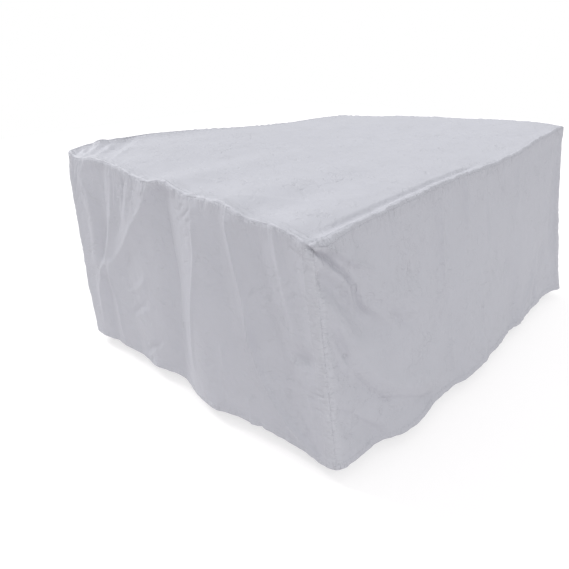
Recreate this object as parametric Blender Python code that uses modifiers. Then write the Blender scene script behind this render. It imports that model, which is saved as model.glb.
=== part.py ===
"""Patio furniture cover: five sewn panels of coated cloth that hang as a hollow box.

X runs along the long side, Y along the short side and +Z is up, in metres. The origin
is the point under the middle of the top panel, where the cover rests on what it covers.
Each panel is an open sheet in its draped shape, which Solidify thickens outwards.
"""
from collections import namedtuple
from math import sqrt

import bpy
import bmesh
import numpy as np
from mathutils import Vector
from mathutils.geometry import delaunay_2d_cdt

# Driving dimensions
LENGTH = 1.70           # long side of the rim
WIDTH = 1.25            # short side of the rim
DROP = 0.74             # from the level of the rim to the level of the hem
CLOTH = 0.002           # thickness of the coated cloth with its seam allowance
SEAM_GAP = 0.0003       # between two panels that are sewn together
RIM_ROLL = 0.012        # the top panel turns down by this much before its seam
RIM_CORNER = 0.024      # reach of the rounding at an upright corner, at the rim
HEM_CORNER = 0.050      # the same at the hem, where the cloth hangs looser
SEAM_STRIP = 0.004      # flat strip of seam allowance beside each seam
SEAM_FADE = 0.035       # folds die out between this strip and this far beyond it
HEM_FLARE = 1.2         # power with which a wall takes on the line of its hem

# Mesh spacing
ROW_EASE = 0.35         # how much closer the rows of a wall lie under the rim
ROLL_STEPS = 3          # strips in which the top panel turns down
TOP_RINGS = ((0.030, 0.045), (0.058, 0.055))   # inset from the rim, spacing
TOP_LATTICE = (0.100, 0.110)                   # first inset, spacing
FOLD_SAMPLES = 6        # points on a fold's smooth track for each row of its path
FOLD_END = 0.18         # share of a fold's length over which each of its ends dies out

Corner = namedtuple("Corner", "x_side y_side rim_z hem_dx hem_dy lean")
Fold = namedtuple("Fold", "depth start_width end_width path")
Wall = namedtuple("Wall", "name columns rows bunching rim hem folds")

# Corners anticlockwise from the near one: height of the rim, how far the hem swings
# from under it, and the power with which the upright seam leans on its way down.
CORNERS = (
    Corner(-1, -1, -0.028, 0.046, -0.055, 1.00),
    Corner(+1, -1, 0.024, 0.018, -0.148, 1.25),
    Corner(+1, +1, -0.014, 0.022, 0.034, 1.00),
    Corner(-1, +1, 0.031, -0.055, 0.008, 0.60),
)

# Rim rows: distance along the wall from its first corner, height of the rim there.
FRONT_RIM = ((0.00, -0.028), (0.05, -0.036), (0.11, -0.029), (0.21, -0.024), (0.32, -0.019),
             (0.44, -0.015), (0.74, -0.010), (0.92, -0.015), (1.13, -0.013), (1.25, -0.006),
             (1.36, 0.009), (1.50, 0.016), (1.64, 0.024), (1.70, 0.024))
RIGHT_RIM = ((0.00, 0.024), (0.06, 0.030), (0.27, 0.032), (0.51, 0.023), (0.79, 0.014),
             (0.95, 0.003), (1.11, -0.008), (1.25, -0.014))
BACK_RIM = ((0.00, -0.014), (0.17, -0.006), (0.35, -0.004), (0.57, 0.002), (0.75, 0.013),
            (0.90, 0.023), (1.05, 0.036), (1.30, 0.051), (1.45, 0.055), (1.58, 0.053),
            (1.65, 0.047), (1.70, 0.031))
LEFT_RIM = ((0.00, 0.031), (0.05, 0.018), (0.20, 0.034), (0.30, 0.032), (0.39, 0.025),
            (0.52, 0.008), (0.65, 0.020), (0.75, 0.005), (0.83, 0.006), (0.93, 0.007),
            (1.02, -0.012), (1.15, -0.012), (1.21, -0.026), (1.25, -0.028))

# Hem rows: fraction of the way along the wall, how far the hem stands out from the
# straight line between its corners, and how far it is lifted.
FRONT_HEM = ((0.00, 0.000, 0.000), (0.05, 0.005, 0.000), (0.09, 0.006, 0.002),
             (0.14, 0.028, 0.000), (0.215, 0.042, -0.002), (0.27, 0.033, 0.001),
             (0.36, 0.026, 0.002), (0.41, 0.037, -0.001), (0.46, 0.034, -0.001),
             (0.53, 0.022, 0.000), (0.61, 0.010, 0.000), (0.68, -0.007, 0.003),
             (0.71, -0.001, -0.002), (0.78, -0.013, 0.001), (0.85, -0.022, 0.001),
             (0.91, -0.031, 0.002), (0.96, -0.024, 0.000), (1.00, 0.000, 0.000))
RIGHT_HEM = ((0.00, 0.000, 0.000), (0.12, 0.012, 0.001), (0.27, 0.004, 0.003),
             (0.45, 0.026, -0.004), (0.61, 0.013, 0.002), (0.80, 0.024, -0.002),
             (1.00, 0.000, 0.000))
BACK_HEM = ((0.00, 0.000, 0.000), (0.10, 0.018, 0.002), (0.24, 0.008, 0.000),
            (0.38, 0.032, -0.004), (0.52, 0.014, 0.003), (0.69, 0.030, -0.003),
            (0.84, 0.009, 0.001), (1.00, 0.000, 0.000))
LEFT_HEM = ((0.00, 0.000, 0.000), (0.06, -0.002, 0.000), (0.17, -0.014, 0.001),
            (0.25, -0.019, 0.001), (0.35, -0.002, -0.002), (0.41, -0.010, 0.000),
            (0.47, -0.010, 0.000), (0.56, 0.016, -0.001), (0.635, 0.026, -0.001),
            (0.68, 0.011, 0.001), (0.75, 0.000, 0.002), (0.82, -0.009, 0.001),
            (0.92, -0.009, 0.000), (0.97, -0.003, 0.000), (1.00, 0.000, 0.000))

# Fold rows: depth (a ridge is positive, a trough negative), half width where the fold
# starts and where it ends, and its path as (along the wall, below the rim).
FRONT_FOLDS = (
    # the drag fold that sweeps from the near corner, and the crease under it
    Fold(0.024, 0.055, 0.085, ((-0.04, -0.02), (0.08, 0.045), (0.18, 0.13), (0.25, 0.22),
                               (0.38, 0.31), (0.56, 0.37))),
    Fold(-0.025, 0.050, 0.064, ((-0.04, 0.01), (0.04, 0.08), (0.10, 0.15), (0.15, 0.24),
                                (0.22, 0.34), (0.36, 0.41), (0.50, 0.43))),
    Fold(0.009, 0.040, 0.050, ((0.02, 0.12), (0.06, 0.20), (0.11, 0.30), (0.18, 0.41))),
    # the second and third sweeps, lower down
    Fold(-0.014, 0.048, 0.058, ((0.00, 0.19), (0.05, 0.29), (0.09, 0.41), (0.17, 0.53),
                                (0.29, 0.63), (0.46, 0.69), (0.60, 0.72))),
    Fold(0.009, 0.050, 0.058, ((0.14, 0.37), (0.22, 0.49), (0.36, 0.58), (0.50, 0.62))),
    Fold(-0.009, 0.048, 0.058, ((0.01, 0.48), (0.07, 0.58), (0.17, 0.67), (0.28, 0.80))),
    # a dent where the drag fold runs out
    Fold(-0.008, 0.060, 0.060, ((0.30, 0.33), (0.46, 0.43))),
    # faint hanging folds under the rim and at the hem
    Fold(0.006, 0.030, 0.030, ((0.59, 0.00), (0.59, 0.22), (0.62, 0.42))),
    Fold(0.005, 0.028, 0.030, ((0.76, -0.02), (0.76, 0.26))),
    Fold(0.005, 0.030, 0.035, ((0.33, -0.02), (0.35, 0.14))),
    Fold(0.005, 0.035, 0.040, ((1.20, -0.02), (1.22, 0.24))),
    Fold(0.007, 0.045, 0.055, ((0.86, 0.40), (0.84, 0.57), (0.87, 0.82))),
    Fold(0.011, 0.040, 0.070, ((1.47, 0.50), (1.33, 0.63), (1.10, 0.76))),
    Fold(-0.007, 0.050, 0.050, ((1.58, 0.42), (1.45, 0.62), (1.36, 0.80))),
    Fold(-0.010, 0.110, 0.110, ((0.93, 0.38), (1.12, 0.45))),
    Fold(-0.012, 0.060, 0.060, ((1.64, 0.12), (1.63, 0.58))),
)
LEFT_FOLDS = (
    # the ridges that cross near the far left corner
    Fold(0.014, 0.032, 0.042, ((0.31, -0.04), (0.31, 0.11), (0.24, 0.28), (0.16, 0.42),
                               (0.10, 0.56), (0.08, 0.82))),
    Fold(0.016, 0.032, 0.042, ((0.59, -0.03), (0.49, 0.09), (0.39, 0.19), (0.27, 0.33),
                               (0.19, 0.42), (0.22, 0.57), (0.25, 0.84))),
    Fold(0.010, 0.022, 0.022, ((0.44, 0.03), (0.37, 0.19), (0.29, 0.32))),
    Fold(-0.013, 0.026, 0.034, ((0.37, -0.02), (0.34, 0.14), (0.26, 0.28))),
    Fold(-0.017, 0.035, 0.045, ((0.15, 0.00), (0.16, 0.20), (0.13, 0.38))),
    Fold(0.009, 0.030, 0.036, ((0.05, 0.06), (0.08, 0.22), (0.06, 0.40), (0.03, 0.62))),
    Fold(-0.014, 0.030, 0.040, ((0.16, 0.50), (0.16, 0.85))),
    Fold(-0.012, 0.035, 0.050, ((0.34, 0.38), (0.34, 0.60), (0.38, 0.85))),
    Fold(0.009, 0.022, 0.026, ((0.51, 0.14), (0.46, 0.33), (0.36, 0.50), (0.28, 0.62))),
    Fold(-0.019, 0.032, 0.055, ((0.56, 0.04), (0.55, 0.22), (0.53, 0.42), (0.50, 0.64))),
    # the strong pair that closes to one broad fold at the hem
    Fold(0.022, 0.028, 0.042, ((0.62, -0.04), (0.62, 0.15), (0.63, 0.30), (0.62, 0.46),
                               (0.64, 0.62), (0.70, 0.84))),
    Fold(0.017, 0.030, 0.044, ((0.81, -0.04), (0.76, 0.20), (0.71, 0.40), (0.69, 0.58),
                               (0.74, 0.84))),
    Fold(-0.014, 0.045, 0.060, ((0.86, 0.00), (0.85, 0.20), (0.83, 0.42), (0.84, 0.60))),
    # the long ridge that runs down into the near corner of the hem
    Fold(0.022, 0.026, 0.044, ((0.92, -0.04), (0.95, 0.11), (0.97, 0.30), (0.99, 0.44),
                               (1.04, 0.55), (1.12, 0.66), (1.24, 0.78))),
    Fold(-0.013, 0.040, 0.055, ((1.03, 0.02), (1.04, 0.20), (1.06, 0.38), (1.12, 0.54))),
    Fold(0.006, 0.030, 0.035, ((0.84, 0.44), (0.84, 0.58), (0.83, 0.80))),
    Fold(-0.013, 0.060, 0.070, ((0.93, 0.50), (0.98, 0.64), (1.04, 0.82))),
    # short ridges and a dimple beside the near corner
    Fold(0.010, 0.024, 0.026, ((1.12, -0.03), (1.12, 0.12), (1.09, 0.36))),
    Fold(0.007, 0.018, 0.020, ((1.13, 0.08), (1.15, 0.31))),
    Fold(-0.017, 0.040, 0.034, ((1.19, 0.28), (1.165, 0.36), (1.17, 0.44))),
    Fold(0.010, 0.024, 0.024, ((1.20, 0.00), (1.215, 0.18), (1.21, 0.30))),
)
RIGHT_FOLDS = (
    Fold(0.013, 0.030, 0.060, ((0.16, -0.04), (0.14, 0.30), (0.11, 0.84))),
    Fold(-0.010, 0.050, 0.070, ((0.30, 0.02), (0.33, 0.40), (0.34, 0.84))),
    Fold(0.015, 0.032, 0.070, ((0.49, -0.04), (0.54, 0.36), (0.57, 0.84))),
    Fold(-0.009, 0.050, 0.070, ((0.71, 0.04), (0.74, 0.45), (0.76, 0.84))),
    Fold(0.013, 0.030, 0.065, ((0.93, -0.04), (0.98, 0.32), (0.99, 0.84))),
    Fold(-0.008, 0.035, 0.050, ((1.13, 0.06), (1.12, 0.50), (1.14, 0.84))),
)
BACK_FOLDS = (
    Fold(0.012, 0.032, 0.060, ((0.22, -0.04), (0.19, 0.35), (0.17, 0.84))),
    Fold(-0.010, 0.055, 0.075, ((0.41, 0.02), (0.40, 0.42), (0.42, 0.84))),
    Fold(0.016, 0.034, 0.075, ((0.60, -0.04), (0.62, 0.30), (0.66, 0.84))),
    Fold(-0.009, 0.060, 0.080, ((0.86, 0.05), (0.88, 0.45), (0.88, 0.84))),
    Fold(0.014, 0.034, 0.075, ((1.12, -0.04), (1.17, 0.36), (1.19, 0.84))),
    Fold(0.010, 0.030, 0.060, ((1.42, -0.04), (1.40, 0.34), (1.44, 0.84))),
    Fold(-0.010, 0.040, 0.055, ((1.56, 0.04), (1.57, 0.40), (1.56, 0.84))),
)

# Top folds, with paths in plan. The first is the trough beside the near rim.
TOP_FOLDS = (
    Fold(-0.008, 0.022, 0.016, ((-0.83, -0.588), (-0.55, -0.590), (-0.20, -0.592),
                                (0.10, -0.594))),
    Fold(-0.010, 0.040, 0.050, ((-0.80, 0.42), (-0.69, 0.52), (-0.56, 0.64))),
    Fold(0.007, 0.028, 0.036, ((-0.86, 0.50), (-0.76, 0.57), (-0.68, 0.66))),
    Fold(-0.007, 0.035, 0.035, ((-0.87, 0.56), (-0.80, 0.64))),
    Fold(0.003, 0.060, 0.070, ((-0.76, -0.20), (-0.59, -0.32), (-0.40, -0.52))),
    Fold(-0.003, 0.050, 0.060, ((-0.82, -0.34), (-0.70, -0.43), (-0.56, -0.56))),
    Fold(0.003, 0.070, 0.080, ((0.34, -0.52), (0.50, -0.30), (0.76, -0.16))),
    Fold(0.003, 0.080, 0.090, ((0.30, 0.36), (0.46, 0.12), (0.52, -0.10))),
    Fold(-0.004, 0.030, 0.040, ((0.86, 0.30), (0.76, 0.44), (0.70, 0.63))),
)
TOP_SAG_REACH = 0.50        # the top lies down onto its support within this radius
RIM_INFLUENCE = 3.0         # power with which an uneven rim dies out across the top

# Columns and rows of the walls' grids. Bunching draws the columns to the first corner.
WALLS = (
    Wall("front_wall", 54, 20, 0.50, FRONT_RIM, FRONT_HEM, FRONT_FOLDS),
    Wall("right_wall", 18, 12, 0.00, RIGHT_RIM, RIGHT_HEM, RIGHT_FOLDS),
    Wall("back_wall", 24, 12, 0.00, BACK_RIM, BACK_HEM, BACK_FOLDS),
    Wall("left_wall", 44, 16, 0.00, LEFT_RIM, LEFT_HEM, LEFT_FOLDS),
)

# Silver grey coated cloth
CLOTH_COLOUR = (0.47, 0.47, 0.51, 1.0)
CLOTH_ROUGHNESS = 0.62


def curve_through(rows, column, at):
    """A smooth curve through one column of a table, read at the places `at`."""
    table = np.array(rows, float)
    x, y = table[:, 0], table[:, column]
    slope = np.gradient(y, x)
    at = np.clip(at, x[0], x[-1])
    i = np.clip(np.searchsorted(x, at, side="right") - 1, 0, len(x) - 2)
    step = x[i + 1] - x[i]
    t = (at - x[i]) / step
    return ((2 * t ** 3 - 3 * t ** 2 + 1) * y[i] + (t ** 3 - 2 * t ** 2 + t) * step * slope[i]
            + (3 * t ** 2 - 2 * t ** 3) * y[i + 1] + (t ** 3 - t ** 2) * step * slope[i + 1])


def smooth_step(value):
    """0 below 0, 1 above 1, and a soft ramp between."""
    value = np.clip(value, 0.0, 1.0)
    return value * value * (3 - 2 * value)


def fold_relief(folds, p, q):
    """Sum of the folds at the places (p, q): each is a soft bell across its path."""
    relief = np.zeros_like(p)
    for fold in folds:
        ends = np.array(fold.path)
        reach = np.linspace(0.0, 1.0, len(ends))
        fine = np.linspace(0.0, 1.0, FOLD_SAMPLES * (len(ends) - 1) + 1)
        track = np.stack([curve_through(np.column_stack([reach, ends[:, axis]]), 1, fine)
                          for axis in (0, 1)], axis=1)
        nearest = np.full(p.shape, np.inf)
        along = np.zeros(p.shape)
        for i, (a, b) in enumerate(zip(track[:-1], track[1:])):
            run = b - a
            t = np.clip(((p - a[0]) * run[0] + (q - a[1]) * run[1]) / run.dot(run), 0, 1)
            away = np.hypot(p - a[0] - t * run[0], q - a[1] - t * run[1])
            closer = away < nearest
            nearest = np.where(closer, away, nearest)
            along = np.where(closer, (i + t) / (len(track) - 1), along)
        width = fold.start_width + (fold.end_width - fold.start_width) * along
        bell = 0.5 + 0.5 * np.cos(np.pi * np.clip(nearest / width, 0, 1))
        ends_fade = smooth_step(along / FOLD_END) * smooth_step((1 - along) / FOLD_END)
        relief += fold.depth * bell * ends_fade
    return relief


def corner_plan(index, down):
    """Plan position of a sharp corner at the fraction `down` of the drop, as (n, 2)."""
    corner = CORNERS[index % 4]
    lean = np.power(down, corner.lean)
    x = corner.x_side * LENGTH / 2 + corner.hem_dx * lean
    y = corner.y_side * WIDTH / 2 + corner.hem_dy * lean
    return np.stack([x, y], axis=-1)


def unit(vectors):
    """The vectors at length 1."""
    return vectors / np.linalg.norm(vectors, axis=-1, keepdims=True)


def wall_length(index):
    return LENGTH if index % 2 == 0 else WIDTH


def wall_path(index, along, down):
    """Plan position and outward direction on a wall, with its corners rounded.

    `along` is the distance from the wall's first corner at the rim.
    """
    before, first, last, after = (corner_plan(index + i, down) for i in (-1, 0, 1, 2))
    heading = unit(last - first)
    span = np.linalg.norm(last - first, axis=-1)
    distance = along / wall_length(index) * span
    reach = RIM_CORNER + (HEM_CORNER - RIM_CORNER) * down
    place = first + heading * distance[..., None]
    tangent = heading.copy()
    arcs = ((first, first + heading * reach[..., None],
             first - unit(first - before) * reach[..., None], distance, -1.0),
            (last, last - heading * reach[..., None],
             last + unit(after - last) * reach[..., None], span - distance, 1.0))
    for corner, own, other, gap, way in arcs:
        t = np.clip((1 - gap / reach) / 2, 0, 0.5)[..., None]
        arc = (1 - t) ** 2 * own + 2 * t * (1 - t) * corner + t ** 2 * other
        turn = way * unit((1 - t) * (corner - own) + t * (other - corner))
        inside = (gap < reach)[..., None]
        place = np.where(inside, arc, place)
        tangent = np.where(inside, turn, tangent)
    outward = np.stack([tangent[..., 1], -tangent[..., 0]], axis=-1)
    return place, outward


def wall_surface(index, along, below):
    """Points of a wall's inner face. `below` is the distance down from the rim."""
    wall = WALLS[index]
    share = along / wall_length(index)
    rim_z = curve_through(wall.rim, 1, along)
    hem_z = -DROP + curve_through(wall.hem, 2, share)
    down = np.clip(below / (rim_z - hem_z), 0.0, 1.0)
    place, outward = wall_path(index, along, down)
    near_seam = np.minimum(along, wall_length(index) - along)
    relief = curve_through(wall.hem, 1, share) * down ** HEM_FLARE
    relief += fold_relief(wall.folds, along, below)
    relief *= smooth_step((near_seam - SEAM_STRIP) / SEAM_FADE)
    relief *= smooth_step((below - RIM_ROLL - SEAM_STRIP) / SEAM_FADE)
    plan = place + outward * relief[..., None]
    return np.concatenate([plan, (rim_z - below)[..., None]], axis=-1)


def top_height(x, y):
    """Height of the top panel's underside in plan."""
    u = np.clip(x / LENGTH + 0.5, 0, 1)
    v = np.clip(y / WIDTH + 0.5, 0, 1)
    z = [corner.rim_z for corner in CORNERS]

    def uneven(index, share):
        start, end = z[index], z[(index + 1) % 4]
        rim = curve_through(WALLS[index].rim, 1, share * wall_length(index))
        return rim - start - (end - start) * share

    flat = (z[0] * (1 - u) + z[1] * u) * (1 - v) + (z[3] * (1 - u) + z[2] * u) * v
    return (flat + uneven(0, u) * (1 - v) ** RIM_INFLUENCE
            + uneven(1, v) * u ** RIM_INFLUENCE
            + uneven(2, 1 - u) * v ** RIM_INFLUENCE
            + uneven(3, 1 - v) * (1 - u) ** RIM_INFLUENCE)


def top_surface(x, y):
    """Points of the top panel's underside, with its folds and the sag at its middle."""
    middle = top_height(np.zeros(1), np.zeros(1))[0]
    sag = 0.5 + 0.5 * np.cos(np.pi * np.clip(np.hypot(x, y) / TOP_SAG_REACH, 0, 1))
    z = top_height(x, y) + fold_relief(TOP_FOLDS, x, y) - middle * sag
    return np.stack([x, y, z], axis=-1)


def column_places(index):
    """Distances along a wall of its upright rows of points, closer at the corners."""
    length = wall_length(index)
    even = np.linspace(0.0, 1.0, WALLS[index].columns - 5)
    even -= WALLS[index].bunching * even * (1 - even)
    inner = RIM_CORNER + (length - 2 * RIM_CORNER) * even
    ends = np.array([0.0, SEAM_STRIP, RIM_CORNER / 2])
    return np.concatenate([ends, inner, length - ends[::-1]])


def row_places(index):
    """Fractions of the height below the seam strip; row 0 is the strip's upper edge."""
    even = np.linspace(0.0, 1.0, WALLS[index].rows + 1)
    return np.concatenate([[0.0], even - ROW_EASE * even * (1 - even)])


def cloth_material(name):
    """A plain matte material in the colour of the cloth."""
    material = bpy.data.materials.new(name)
    material.use_nodes = True
    shader = material.node_tree.nodes["Principled BSDF"]
    shader.inputs["Base Color"].default_value = CLOTH_COLOUR
    shader.inputs["Roughness"].default_value = CLOTH_ROUGHNESS
    shader.inputs["Metallic"].default_value = 0.0
    return material


def finish_sheet(thing, collection):
    """Split a sheet along its creases, thicken it outwards and give it its material."""
    split = thing.modifiers.new("split along creases", "TRIANGULATE")
    split.quad_method = "SHORTEST_DIAGONAL"
    thicken = thing.modifiers.new("cloth thickness", "SOLIDIFY")
    thicken.thickness = CLOTH
    thicken.offset = 1.0
    thicken.use_rim = True
    thing.data.shade_smooth()
    thing.data.materials.append(cloth_material(thing.name + "_cloth"))
    for other in thing.users_collection:
        other.objects.unlink(thing)
    collection.objects.link(thing)


def build_wall(index, collection):
    """A wall: a grid whose columns run along it and whose rows run from seam to hem."""
    wall = WALLS[index]
    columns = column_places(index)
    # A step along the sharp corner is shorter by the root of two on the rounded one.
    side_gap = SEAM_GAP / sqrt(2)
    columns[0] += side_gap
    columns[-1] -= side_gap
    rows = row_places(index)
    bpy.ops.mesh.primitive_grid_add(x_subdivisions=len(columns) - 1,
                                    y_subdivisions=len(rows) - 1, size=2.0)
    sheet = bpy.context.object
    sheet.name = wall.name
    sheet.data.name = wall.name
    flat = np.empty(len(sheet.data.vertices) * 3)
    sheet.data.vertices.foreach_get("co", flat)
    flat = flat.reshape(-1, 3)
    column = np.rint((flat[:, 0] + 1) / 2 * (len(columns) - 1)).astype(int)
    row = np.rint((1 - flat[:, 1]) / 2 * (len(rows) - 1)).astype(int)
    along = columns[column]
    share = along / wall_length(index)
    height = curve_through(wall.rim, 1, along) + DROP - curve_through(wall.hem, 2, share)
    top = RIM_ROLL + SEAM_GAP
    strip = top + SEAM_STRIP
    below = np.where(row == 0, top, strip + (height - strip) * rows[row])
    sheet.data.vertices.foreach_set("co", wall_surface(index, along, below).ravel())
    sheet.data.update()
    finish_sheet(sheet, collection)


def ring_in_plan(inset, spacing):
    """Evenly spaced points on the rim's rectangle, drawn in by `inset`."""
    half_x = LENGTH / 2 - inset
    half_y = WIDTH / 2 - inset
    across = np.linspace(-half_x, half_x, round(2 * half_x / spacing) + 1)[:-1]
    deep = np.linspace(-half_y, half_y, round(2 * half_y / spacing) + 1)[:-1]
    sides = ([(x, -half_y) for x in across], [(half_x, y) for y in deep],
             [(-x, half_y) for x in across], [(-half_x, -y) for y in deep])
    return [point for side in sides for point in side]


def lattice_in_plan(inset, spacing):
    """A regular lattice inside the rings."""
    half_x = LENGTH / 2 - inset
    half_y = WIDTH / 2 - inset
    across = np.linspace(-half_x, half_x, round(2 * half_x / spacing) + 1)
    deep = np.linspace(-half_y, half_y, round(2 * half_y / spacing) + 1)
    return [(x, y) for x in across for y in deep]


def turn_down(mesh, edge_loop, places):
    """Extrude the sheet's edge once, to `places`, and return the new edge loop."""
    order = {vert: i for i, vert in enumerate(edge_loop)}
    rim = [edge for edge in mesh.edges if edge.is_boundary]
    grown = bmesh.ops.extrude_edge_only(mesh, edges=rim)["geom"]
    new_loop = list(edge_loop)
    for vert in (item for item in grown if isinstance(item, bmesh.types.BMVert)):
        linked = (edge.other_vert(vert) for edge in vert.link_edges)
        place = next(order[other] for other in linked if other in order)
        vert.co = places[place]
        new_loop[place] = vert
    return new_loop


def build_top(collection):
    """The top: a triangulated sheet inside the rim, then strips that turn down over it."""
    along = [column_places(index)[:-1] for index in range(4)]
    sharp, outward, seam = [], [], []
    for index, places in enumerate(along):
        zero = np.zeros_like(places)
        place, out = wall_path(index, places, zero)
        rim_z = curve_through(WALLS[index].rim, 1, places)
        sharp.append(np.concatenate([place, rim_z[:, None]], axis=1))
        outward.append(out)
        seam.append(wall_surface(index, places, zero + RIM_ROLL))
    sharp, outward, seam = (np.concatenate(part) for part in (sharp, outward, seam))
    shoulder = sharp[:, :2] - outward * RIM_ROLL
    inner = [point for inset, spacing in TOP_RINGS for point in ring_in_plan(inset, spacing)]
    inner += lattice_in_plan(*TOP_LATTICE)
    count = len(shoulder)
    points = [Vector(point) for point in shoulder] + [Vector(point) for point in inner]
    rim_edges = [(i, (i + 1) % count) for i in range(count)]
    flat, _, faces, _, _, _ = delaunay_2d_cdt(points, rim_edges, [list(range(count))], 1, 1e-6)
    plan = np.array([tuple(point) for point in flat])
    draped = top_surface(plan[:, 0], plan[:, 1])
    mesh = bmesh.new()
    corners = [mesh.verts.new(point) for point in draped]
    for face in faces:
        mesh.faces.new([corners[i] for i in face])
    bmesh.ops.recalc_face_normals(mesh, faces=mesh.faces)
    if sum(face.normal.z for face in mesh.faces) < 0:
        bmesh.ops.reverse_faces(mesh, faces=mesh.faces)
    mesh.verts.ensure_lookup_table()
    edge_loop = [mesh.verts[i] for i in range(count)]
    start = np.array([vert.co for vert in edge_loop])
    for step in range(1, ROLL_STEPS + 1):
        t = step / ROLL_STEPS
        ring = (1 - t) ** 2 * start + 2 * t * (1 - t) * sharp + t ** 2 * seam
        edge_loop = turn_down(mesh, edge_loop, ring)
    data = bpy.data.meshes.new("top_panel")
    mesh.to_mesh(data)
    mesh.free()
    finish_sheet(bpy.data.objects.new("top_panel", data), collection)


def build_cover():
    for thing in list(bpy.data.objects):
        bpy.data.objects.remove(thing, do_unlink=True)
    collection = bpy.data.collections.new("patio_furniture_cover")
    bpy.context.scene.collection.children.link(collection)
    build_top(collection)
    for index in range(4):
        build_wall(index, collection)


build_cover()
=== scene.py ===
"""A fitted patio furniture cover of silver grey coated cloth, as it hangs in use.

Five sheets are cut and sewn: the top and four walls. X runs along the long side, Y along
the short side and Z is up, in metres, with the origin under the middle of the top.
"""
from collections import namedtuple
from math import cos, pi, radians, sin, sqrt

import bmesh
import bpy
import numpy as np
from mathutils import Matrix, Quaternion, Vector


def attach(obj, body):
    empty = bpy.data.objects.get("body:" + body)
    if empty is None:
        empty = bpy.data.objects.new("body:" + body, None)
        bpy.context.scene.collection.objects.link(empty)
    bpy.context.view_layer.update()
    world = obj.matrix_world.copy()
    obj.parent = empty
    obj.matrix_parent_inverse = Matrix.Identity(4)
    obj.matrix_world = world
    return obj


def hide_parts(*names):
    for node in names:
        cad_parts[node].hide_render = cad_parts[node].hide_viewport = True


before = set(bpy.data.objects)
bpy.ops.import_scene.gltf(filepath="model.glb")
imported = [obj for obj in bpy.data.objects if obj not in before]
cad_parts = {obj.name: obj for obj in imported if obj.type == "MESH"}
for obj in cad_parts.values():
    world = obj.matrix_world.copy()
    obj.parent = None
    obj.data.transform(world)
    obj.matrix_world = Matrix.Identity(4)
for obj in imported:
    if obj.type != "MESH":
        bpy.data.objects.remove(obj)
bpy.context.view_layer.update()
bpy.ops.object.select_all(action="DESELECT")

# Sizes of the cover
LENGTH = 1.70  # long side of the rim
WIDTH = 1.25  # short side of the rim
DROP = 0.74  # from the level of the rim to the level of the hem
RIM_ROLL = 0.006  # the top turns down by this much before its seam
ROLL_IN = 0.006  # the roll over the rim starts this far inside it,
ROLL_OUT = 0.0008  # swings out by this much
ROLL_RINGS = 5  # and has this many rings of faces
RIM_CORNER = 0.014  # reach of the rounding at an upright corner, at the rim
HEM_CORNER = 0.050  # the same at the hem
HEM_FLARE = 1.2  # power with which a wall takes on the line of its hem
TOP_SAG_REACH = 0.50  # the top lies down onto its support within this radius
RIM_INFLUENCE = 3.0  # power with which an uneven rim dies out across the top

# Folds
FOLD_SAMPLES = 6  # steps of a fold's smooth track for each step of its path
FOLD_END = 0.18  # share of a fold's length over which each of its ends dies out,
FOLD_END_LENGTH = 0.07  # and the least length for it; a fold can give its own at its start
MOST_FOLD_END = 0.5  # and the largest share
CRISP_ROUND = 0.03  # how round the edge of a crisp fold is
RIDGE_LEVEL = 0.35  # level about which ridged dents rise and fall,
TOP_RIDGE_LEVEL = 0.30  # and the same on the top, outside its patches
PATCH_RIDGES = 0.8  # share of such ridges in a patch of wrinkles
SEAM_FADE = 0.022  # folds die out over this distance from a corner seam
RIM_HOLD = 0.30  # share of a fold's depth that is left at the rim seam,
RIM_FADE = 0.035  # and how far below it the fold is whole
GATHER_REACH = 0.09  # the small folds below the rim seam die out within this length
WALL_RIDGES = 0.5  # share of ridges in the random dents of a wall

# Sizes of the sewing
CLOTH = 0.0010  # thickness of the cloth
SHEET_OUT = 0.0005  # its inner face lies this far out from the line of the folds
SEAM_START = 0.03  # a seam starts to wander over this distance from its ends
RIM_WANDER_REACH = 0.022  # how far the wander of the rim seam reaches down a wall,
CORNER_WANDER_REACH = 0.030  # that of a corner seam into it,
HEM_WAVE_REACH = 0.026  # and that of the hem up it
KNOT_BELOW = 0.43  # the short puckers of a corner seam are deepest this far down,
KNOT_REACH = 0.16  # within this length
KNOT_DEPTH = 0.6  # by this share,
SHORT_DEPTH = 0.55  # and this is their share elsewhere
RIM_TUCK = 0.0006  # the rim seam draws the cloth in by this much
UNDER_RIM = 0.0016  # the wall hangs this far behind the rim just under it,
UNDER_RIM_REACH = 0.025  # and this fades out over this length
CORNER_TUCK = 0.0002  # an upright corner seam draws the cloth in by this much
SEAM_TUCK_REACH = 0.007
TUCK_CLEAR = 0.01  # the rim seam's tuck starts this far from a corner seam,
TUCK_RAMP = 0.09  # and is whole this much further on
BAND_WIDTH = 0.040  # lapped band beside an upright corner seam
BAND_RISE = 0.0012
BAND_EDGE = 0.004  # width over which it rises, and over which it falls to the seam
BAND_SEAM = 0.006
LAP_BEHIND = 0.004  # a wall's first edge reaches this far behind its neighbour
RIM_LAP = 0.0025  # its upper edge reaches this far behind the roll of the top
LAP_UNDER = 0.0003  # and both edges lie this much deeper there
HEM_BAND = 0.022  # width of the turned hem
HEM_RISE = 0.0013
HEM_EDGE = 0.003
HEM_ROLL = 0.0016  # radius of the fold at the hem's edge
HEM_TURNS = (0.25, 0.5, 0.75, 1.0)  # rows of points round it, as shares of half a turn

# The raised seam along the rim, and the groove that it leaves inside it
BEAD_IN = 0.004  # distance of the bead from the rim,
BEAD_HALF = 0.008  # half its width,
GROOVE_IN = 0.0135  # and the same of the groove
GROOVE_HALF = 0.0075
GATHER_IN = 0.030  # the small folds of the top reach this far in
PULL_REACH = 0.28  # the near corner pulls at the front rim within this length,
PULLED_BEAD = 0.0050  # and adds this much to the bead and the groove there
PULLED_GROOVE = 0.0065
FRONT_BEAD = 0.001  # what the whole front rim has more than the others
FRONT_GROOVE = 0.0012
FRONT_GROOVE_END = 1.1  # the groove's extra has died out this far along,
FRONT_GROOVE_FADE = 0.6  # over this length

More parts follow.
